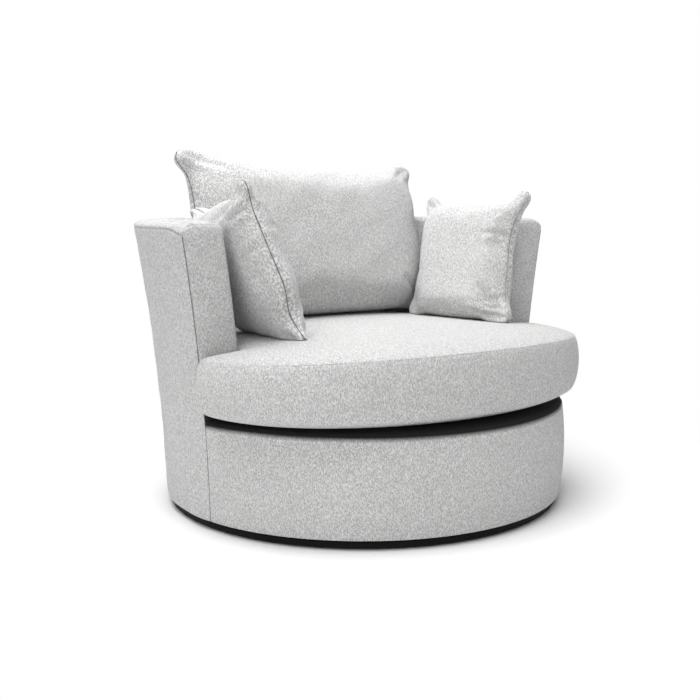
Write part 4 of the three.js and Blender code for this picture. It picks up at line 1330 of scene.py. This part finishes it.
def leaned(points, sizes):
    """Lifts one upper corner, rakes the upper edge and presses in the side edge."""
    u = np.clip(2.0 * points[:, 0] / sizes.width, -1.0, 1.0)
    upward = np.clip(points[:, 1] / sizes.height, 0.0, 1.0)
    side = np.maximum(np.sign(sizes.tuck) * u, 0.0) ** 2
    moved = points.copy()
    moved[:, 0] += sizes.rake * upward - sizes.tuck * side * (1.0 - sizes.top_tuck * upward**3)
    narrow = np.exp(-(((upward - sizes.waist_height) / sizes.waist_run) ** 2))
    moved[:, 0] -= sizes.waist * np.maximum(np.sign(sizes.waist) * u, 0.0) ** 2 * narrow
    moved[:, 0] += sizes.far_ear * np.maximum(u, 0.0) ** 6 * upward**6
    moved[:, 1] += sizes.ear_lift * u * upward
    return moved


def refitted(points, sizes):
    """Scales a filled pillow back to its stated width, height and bulge."""
    low, high = points.min(axis=0), points.max(axis=0)
    fitted = points - (low + high) / 2.0
    fitted = fitted * np.array([sizes.width, sizes.height, 2.0 * sizes.bulge]) / (high - low)
    fitted[:, 1] += sizes.height / 2.0
    return fitted


def fold(points, normal, start, end, depth, width, side):
    """A soft fold pressed into one face between two places given as shares of the pillow."""
    a = np.array(start)
    b = np.array(end)
    run = b - a
    flat = points[:, :2]
    along = np.clip(((flat - a) @ run) / (run @ run), 0.0, 1.0)
    gap = np.linalg.norm(flat - (a + along[:, None] * run), axis=1)
    taper = np.sin(math.pi * np.clip(0.12 + 0.88 * (1.0 - along), 0.0, 1.0)) ** 0.6
    press = np.exp(-((gap / width) ** 2)) - 0.55 * np.exp(-(((gap - 1.9 * width) / width) ** 2))
    facing = np.clip(side * normal[:, 2] * 3.0, 0.0, 1.0)
    return points - normal * (depth * press * taper * facing)[:, None]


def settled(points, surface, gap):
    """Rests points on the seat: none stays below its surface."""
    rested = points.copy()
    for i, point in enumerate(points):
        hit = surface.ray_cast(Vector((point[0], point[1], 1.0)), Vector((0.0, 0.0, -1.0)))[0]
        if hit is not None and hit.z > SEAT_FLOOR + 0.05:
            rested[i, 2] = max(point[2], hit.z + gap)
    return rested


def clear_of_tub(points, tub, gap):
    """Keeps points inside the tub's inner face, below the rim."""
    kept = points.copy()
    y = kept[:, 1] - AXIS_Y
    z = np.clip(kept[:, 2], SEAT_FLOOR, RIM_SEAM_HEIGHT)
    low = kept[:, 2] < RIM_SEAM_HEIGHT + tub.sizes.rim_crown + gap
    a = tub.half_width(z) - gap
    b = tub.radius(z) - tub.sizes.back_width - gap
    level = (np.abs(kept[:, 0]) / a) ** tub.sizes.inner_power + (np.maximum(y, 0.0) / b) ** tub.sizes.inner_power
    inside = (y > tub.front(z) - gap) & low & (level > 1.0)
    scale = np.where(inside, np.maximum(level, 1e-9) ** (-1.0 / tub.sizes.inner_power), 1.0)
    kept[:, 0] *= scale
    kept[:, 1] = AXIS_Y + np.where(inside & (y > 0.0), y * scale, y)
    return kept


def pillow(scene, name, sizes, body, folds, seed, spacing=0.0095):
    """A loose cushion: simulated, folded, leaned on the tub and settled on the seat."""
    made = materials(scene)
    tub = Tub(scene.cuddle_tub)
    seat = Seat(scene.cuddle_seat, tub)
    piece = pillow_shell(f"{name}_cloth", sizes, spacing, seed)
    swell(piece, 22, 4.0, sizes.swell * away_from_corners(positions(piece.data), sizes), 0.012)
    subdivided(piece)
    mesh = piece.data
    points = refitted(positions(mesh), sizes)
    set_positions(mesh, points)
    half = np.array([sizes.width / 2.0, sizes.height / 2.0])
    for start, end, depth, width, side in folds:
        places = [(share_u * half[0], half[1] * (1.0 + share_v)) for share_u, share_v in (start, end)]
        points = fold(points, vertex_normals(mesh), *places, depth, width, side)
    front = np.clip(points[:, 2] / sizes.bulge, 0.0, 1.0) ** 0.5
    points = leaned(points, sizes)
    matrix = np.array(pillow_matrix(seat, sizes))
    points = points @ matrix[:3, :3].T + matrix[:3, 3]
    height = np.maximum(points[:, 2] - seat.dome(points[:, 0], points[:, 1] - AXIS_Y), 0.0)
    points[:, 2] -= sizes.sag * np.exp(-height / sizes.sag_run) * front
    surface = tree_of(bpy.data.objects["seat_cushion_cloth"].data)
    points = settled(points, surface, 0.8 * MILLIMETRE)
    points = clear_of_tub(points, tub, 3.0 * MILLIMETRE)
    set_positions(mesh, points)
    keep_seams(piece, 0.004, sizes.groove)
    rows = seam_loops(mesh, 0.4 * sizes.cord)
    finish_piece(piece, body, made["cover"], (f"{name}_cover",))
    # Painted shade: a dark cord along the seam stands in for the shadow in its groove.
    seam = cord_along(f"{name}_seam", rows, sizes.cord, made["seam"])
    finish_piece(seam, body, made["seam"])
    if sizes.piping:
        piping = cord_along(f"{name}_piping", seam_loops(mesh, 1.2 * sizes.cord), sizes.piping, made["cord"])
        finish_piece(piping, body, made["cord"])
    middle = points.mean(axis=0)
    filling_of(piece, f"{name}_filling", middle, FIBRE_SHARE, body, made["fibre"], f"{name}_fibre")
    pillow_zip(made, name, rows[0], body)
    return piece


def pillow_zip(made, name, row, body):
    """A zip in the middle of the cushion's lower seam."""
    low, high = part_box(f"{name}_zip")
    near = [
        i
        for i, point in enumerate(row)
        if low.x - 0.004 <= point[0] <= high.x + 0.004
        and low.y - 0.004 <= point[1] <= high.y + 0.004
        and point[2] <= high.z + 0.02
    ]
    if len(near) < 3:
        middle = (np.array(low) + np.array(high)) / 2.0
        half = (np.array(high) - np.array(low)) / 2.0
        half[2] = 0.0
        path = [middle - half, middle, middle + half]
    else:
        path = row[near[0] : near[-1] + 1]
    zip_along(made, name, path, body)


def zip_along(made, name, path, body):
    """Zip tape and teeth along a row of points."""
    tape = cord_along(f"{name}_zip_tape", [path], 1.6 * MILLIMETRE, made["zip"], closed=False)
    finish_piece(tape, body, made["zip"], (f"{name}_zip",))
    teeth = beads_along(
        f"{name}_zip_teeth", [path], 2.2 * MILLIMETRE, (0.0008, 0.002, 0.002), made["glide"], closed=False
    )
    finish_piece(teeth, body, made["glide"])


# Operators
class CUDDLE_OT_tub(bpy.types.Operator):
    """Covers the tub: outside, rim and inside, and the two arm fronts"""

    bl_idname = "cuddle.tub"
    bl_label = "Tub Covers"

    def execute(self, context):
        made = materials(context.scene)
        tub = Tub(context.scene.cuddle_tub)
        finish_piece(outside_cover(tub), "chair", made["cover"], ("outside_cover",))
        finish_piece(inside_cover(tub), "chair", made["cover"], ("inside_cover",))
        finish_piece(rim_padding(tub), "chair", made["foam"], ("rim_padding",))
        for side, name in ((-1.0, "arm_facing_left"), (1.0, "arm_facing_right")):
            facing, foot = arm_facing(tub, side, name)
            finish_piece(facing, "chair", made["cover"], (name,))
            # The foot's black cloth is decking and also painted shade under the seat cushion's corner.
            finish_piece(foot, "chair", made["platform"])
            # Painted shade: a dark cord along the arm's seam stands in for the shadow in its groove.
            rows = [arm_seam(tub, 0.5 - 1.5 * side)]
            seam = cord_along(f"{name}_seam", rows, tub.sizes.seam_cord, made["seam"], closed=False)
            finish_piece(seam, "chair", made["seam"])
        return {"FINISHED"}


class CUDDLE_OT_border(bpy.types.Operator):
    """Covers the drum's front and the deck"""

    bl_idname = "cuddle.border"
    bl_label = "Front Border and Deck"

    def execute(self, context):
        made = materials(context.scene)
        tub = Tub(context.scene.cuddle_tub)
        cover, platform = front_border(tub)
        # The border's cover has painted shade along its upper edge, under the seat cushion.
        finish_piece(cover, "chair", made["border"], ("front_border_cover",))
        # The black strip on the border's roll is decking and also painted shade under the seat cushion.
        finish_piece(platform, "chair", made["platform"])
        deck = finish_piece(deck_pad(tub), "chair", made["platform"], ("deck_pad",))
        return {"FINISHED"}


class CUDDLE_OT_seat(bpy.types.Operator):
    """Makes the T-shaped seat cushion with its seams, foam and zip"""

    bl_idname = "cuddle.seat"
    bl_label = "Seat Cushion"

    def execute(self, context):
        scene = context.scene
        made = materials(scene)
        sizes = scene.cuddle_seat
        seat = Seat(sizes, Tub(scene.cuddle_tub))
        piece = seat_shell(seat)
        keep_seams(piece, 0.006, 2.4 * MILLIMETRE)
        rows = seam_loops(piece.data)
        finish_piece(piece, "seat_cushion", made["cover"], ("seat_cushion_cover",))
        zip_low, zip_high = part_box("seat_cushion_zip")
        surface = tree_of(piece.data)
        path = []
        for x in steps(zip_low.x, zip_high.x, 41):
            start = Vector((float(x), 1.0, (zip_low.z + zip_high.z) / 2.0))
            path.append(tuple(surface.ray_cast(start, Vector((0.0, -1.0, 0.0)))[0]))
        zip_along(made, "seat_cushion", path, "seat_cushion")
        cord = cord_along("seat_cushion_seam", rows, sizes.cord, made["cord"])
        finish_piece(cord, "seat_cushion", made["cord"])
        low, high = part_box("seat_cushion_cover")
        middle = np.array([0.0, AXIS_Y + seat.wing - sizes.edge_run / 2.0, (low.z + high.z) / 2.0])
        filling_of(
            piece, "seat_cushion_block", middle, BLOCK_SHARE, "seat_cushion", made["foam"], "seat_cushion_foam"
        )
        return {"FINISHED"}


class CUDDLE_OT_back_cushion(bpy.types.Operator):
    """Makes the large back cushion"""

    bl_idname = "cuddle.back_cushion"
    bl_label = "Back Cushion"

    def execute(self, context):
        folds = (
            ((-0.97, 0.95), (-0.72, 0.72), 0.004, 0.009, 1.0),
            ((0.97, 0.95), (0.74, 0.74), 0.004, 0.009, 1.0),
            ((-0.9, -0.9), (-0.62, -0.6), 0.004, 0.01, 1.0),
            ((0.9, -0.9), (0.62, -0.62), 0.004, 0.01, 1.0),
        )
        scene = context.scene
        pillow(scene, "back_cushion", scene.cuddle_back, "back_cushion", folds, 21, 0.0115)
        return {"FINISHED"}


class CUDDLE_OT_scatters(bpy.types.Operator):
    """Makes the two scatter cushions"""

    bl_idname = "cuddle.scatters"
    bl_label = "Scatter Cushions"

    def execute(self, context):
        scene = context.scene
        left_folds = (
            ((-0.98, 0.86), (-0.6, 0.6), 0.004, 0.008, 1.0),
            ((-1.02, 0.73), (-0.74, 0.62), 0.0065, 0.0068, -1.0),
            ((-1.02, 0.25), (-0.76, 0.18), 0.004, 0.0068, -1.0),
            ((-0.96, 0.42), (-0.62, 0.36), 0.003, 0.008, 1.0),
            ((-0.98, -0.86), (-0.66, -0.66), 0.004, 0.008, 1.0),
        )
        right_folds = (
            ((0.98, 0.3), (0.5, 0.26), 0.0035, 0.007, 1.0),
            ((-0.98, 0.9), (-0.62, 0.66), 0.004, 0.008, 1.0),
            ((0.98, -0.6), (0.62, -0.74), 0.0025, 0.008, 1.0),
            ((0.97, -0.9), (0.42, -0.87), 0.0065, 0.006, 1.0),
            ((0.9, -0.78), (0.66, -0.8), 0.004, 0.005, 1.0),
        )
        pillow(scene, "scatter_cushion_left", scene.cuddle_left, "scatter_cushion_left", left_folds, 31)
        pillow(scene, "scatter_cushion_right", scene.cuddle_right, "scatter_cushion_right", right_folds, 41)
        return {"FINISHED"}


NODE_FINISHES = {
    "plinth_disc": "plinth",
    "floor_glide": "glide",
    "swivel": "steel",
    "plinth_screw": "steel",
    "board_screw": "steel",
    "base_board": "timber",
    "tub_rib": "timber",
    "arm_front_board": "timber",
    "rim_former": "timber",
    "front_rail": "timber",
    "seat_frame": "timber",
    "seat_spring": "steel",
    "spring_clip": "steel",
    "outside_panel": "panel",
    "front_border_padding": "foam",
    "tub_padding": "foam",
    "rim_padding": "foam",
}


class CUDDLE_OT_frame_finishes(bpy.types.Operator):
    """Gives the frame, the swivel and the padding their finishes"""

    bl_idname = "cuddle.frame_finishes"
    bl_label = "Frame Finishes"

    def execute(self, context):
        made = materials(context.scene)
        for name, node in frame["nodes"].items():
            kinds = [kind for start, kind in NODE_FINISHES.items() if name.startswith(start)]
            if kinds:
                for slot in node.material_slots:
                    slot.material = made[kinds[0]]
        return {"FINISHED"}


def lamp(name, power_watts, size, place, aim):
    """A large soft lamp that looks at a point."""
    data = bpy.data.lights.new(name, "AREA")
    data.energy = power_watts
    data.shape = "SQUARE"
    data.size = size
    piece = bpy.data.objects.new(name, data)
    piece.location = place
    piece.rotation_euler = (Vector(aim) - Vector(place)).to_track_quat("-Z", "Y").to_euler()
    bpy.context.scene.collection.objects.link(piece)
    return piece


def seen_directly(tree):
    """1 for rays from the camera, in reflections and through glass."""
    path = tree.nodes.new("ShaderNodeLightPath")
    sums = []
    for name in ("Is Camera Ray", "Is Glossy Ray", "Is Transmission Ray"):
        sums.append(path.outputs[name])
    total = sums[0]
    for socket in sums[1:]:
        most = tree.nodes.new("ShaderNodeMath")
        most.operation = "MAXIMUM"
        tree.links.new(total, most.inputs[0])
        tree.links.new(socket, most.inputs[1])
        total = most.outputs[0]
    return total


def white_world(ambient):
    """Soft light from all round before a white background."""
    world = bpy.data.worlds.new("studio")
    world.use_nodes = True
    tree = world.node_tree
    lit = tree.nodes["Background"]
    lit.inputs["Strength"].default_value = ambient
    lit.inputs["Color"].default_value = (1.0, 1.0, 1.0, 1.0)
    white = tree.nodes.new("ShaderNodeBackground")
    white.inputs["Strength"].default_value = 1.0
    white.inputs["Color"].default_value = (1.0, 1.0, 1.0, 1.0)
    mix = tree.nodes.new("ShaderNodeMixShader")
    tree.links.new(seen_directly(tree), mix.inputs["Fac"])
    tree.links.new(lit.outputs[0], mix.inputs[1])
    tree.links.new(white.outputs[0], mix.inputs[2])
    tree.links.new(mix.outputs[0], tree.nodes["World Output"].inputs["Surface"])
    bpy.context.scene.world = world


def floor_paint(look):
    """A pale floor that thins out round the chair where it is seen, and farther off for the light it throws back."""
    finish = Finish("pale floor", look.floor, 0.9, specular=0.1)
    x, y, _ = finish.split(finish.object_point())
    away = (x * x + y * y).raised(0.5)
    wide = ((look.floor_reach - away) / look.floor_fade).clamped()
    close = ((look.seen_reach - away) / look.seen_fade).clamped()
    seen = finish.add("ShaderNodeLightPath", output="Is Camera Ray")
    finish.feed(finish.shader.inputs["Alpha"], wide + (close - wide) * seen)
    return finish.material


class CUDDLE_OT_stage(bpy.types.Operator):
    """Sets the pale floor, the soft lamps and the camera"""

    bl_idname = "cuddle.stage"
    bl_label = "Stage"

    def execute(self, context):
        scene = context.scene
        look = scene.cuddle_stage
        scene.view_settings.view_transform = "Standard"
        white_world(look.ambient)
        reach = 30.0
        corners = [(-reach, -reach, 0.0), (reach, -reach, 0.0), (reach, reach, 0.0), (-reach, reach, 0.0)]
        mesh = bpy.data.meshes.new("floor")
        mesh.from_pydata(corners, [], [(0, 1, 2, 3)])
        floor = link("floor", mesh)
        mesh.materials.append(floor_paint(look))
        lamp("key", look.key, 2.4, (-2.9, -1.9, 2.3), (0.0, 0.0, 0.4))
        lamp("top", look.top, 2.6, (-0.4, 0.2, 3.0), (0.0, 0.0, 0.3))
        lamp("front", look.front, 1.6, (-0.5, -0.9, 3.2), (0.0, 0.0, 0.3))
        data = bpy.data.cameras.new("camera")
        data.lens = look.lens
        data.sensor_width = 36.0
        data.shift_x = look.shift
        camera = bpy.data.objects.new("camera", data)
        camera.location = (
            look.distance * math.sin(look.azimuth),
            AXIS_Y - look.distance * math.cos(look.azimuth),
            look.height,
        )
        camera.rotation_euler = (math.pi / 2 - look.pitch, 0.0, look.azimuth)
        scene.collection.objects.link(camera)
        scene.camera = camera
        return {"FINISHED"}


class CUDDLE_PT_chair(bpy.types.Panel):
    """Lists the chair's pieces and their sizes"""

    bl_label = "Cuddle Chair"
    bl_space_type = "VIEW_3D"
    bl_region_type = "UI"
    bl_category = "Cuddle Chair"

    def draw(self, context):
        for step in OPERATORS:
            self.layout.operator(step.bl_idname)
        for name, kind in GROUPS.items():
            box = self.layout.box()
            box.label(text=kind.__doc__)
            group = getattr(context.scene, name)
            for size in kind.__annotations__:
                box.prop(group, size)


GROUPS = {
    "cuddle_tub": TubSizes,
    "cuddle_seat": SeatSizes,
    "cuddle_back": PillowSizes,
    "cuddle_left": PillowSizes,
    "cuddle_right": PillowSizes,
    "cuddle_cloth": ClothLook,
    "cuddle_stage": StageLook,
}
OPERATORS = (
    CUDDLE_OT_tub,
    CUDDLE_OT_border,
    CUDDLE_OT_seat,
    CUDDLE_OT_back_cushion,
    CUDDLE_OT_scatters,
    CUDDLE_OT_frame_finishes,
    CUDDLE_OT_stage,
)
KINDS = (TubSizes, SeatSizes, PillowSizes, ClothLook, StageLook)


def set_pillows(scene):
    """Sizes and places of the three loose cushions."""
    back = scene.cuddle_back
    back.width, back.height, back.bulge = 0.75, 0.441, 0.106
    back.across, back.back = 0.012, 0.198
    back.lean = math.radians(14.0)
    back.ear_lift = -0.016
    back.bow, back.right_bow, back.top_bow, back.top_run = 0.02, 0.005, 0.02, 0.19
    back.ear, back.ear_radius, back.pinch_run = 0.025, 0.029, 0.06
    back.groove, back.low_power = 0.003, 5.0
    back.sag, back.sag_run = 0.016, 0.035
    left = scene.cuddle_left
    left.width, left.height, left.bulge = 0.346, 0.35, 0.066
    left.across, left.back = -0.282, -0.007
    left.turn, left.lean = math.radians(86.2), math.radians(18.6)
    left.ear_lift, left.rake, left.tuck = -0.036, 0.054, 0.084
    left.bow, left.right_bow, left.low_corner, left.far_ear = 0.0, 0.008, 0.0, 0.028
    right = scene.cuddle_right
    right.width, right.height, right.bulge = 0.354, 0.356, 0.066
    right.across, right.back = 0.293, -0.024
    right.turn, right.lean = math.radians(-80.2), math.radians(18.2)
    right.ear_lift, right.rake, right.tuck = 0.009, -0.012, -0.016
    right.bow, right.right_bow, right.low_corner = 0.008, 0.012, 0.0
    right.piping, right.groove, right.cord, right.low_power = 0.0024, 0.006, 0.0022, 8.0
    right.waist = 0.02
    for scatter in (left, right):
        scatter.top_bow, scatter.top_run = 0.01, 0.05
        scatter.ear, scatter.ear_radius, scatter.pinch_run = 0.014, 0.019, 0.04
    left.pinch_run = 0.018
    left.waist, left.waist_height, left.waist_run = -0.028, 0.17, 0.12
    right.top_bow, right.top_run, right.ear, right.ear_radius = 0.024, 0.032, 0.018, 0.026


def register():
    for kind in (*KINDS, *OPERATORS, CUDDLE_PT_chair):
        bpy.utils.register_class(kind)
    for name, kind in GROUPS.items():
        setattr(bpy.types.Scene, name, PointerProperty(type=kind))


def unregister():
    for name in GROUPS:
        delattr(bpy.types.Scene, name)
    for kind in reversed((*KINDS, *OPERATORS, CUDDLE_PT_chair)):
        bpy.utils.unregister_class(kind)


def main():
    """Builds the whole chair."""
    register()
    set_pillows(bpy.context.scene)
    bpy.ops.cuddle.tub()
    bpy.ops.cuddle.border()
    bpy.ops.cuddle.seat()
    bpy.ops.cuddle.back_cushion()
    bpy.ops.cuddle.scatters()
    bpy.ops.cuddle.frame_finishes()
    bpy.ops.cuddle.stage()


if __name__ == "__main__":
    main()
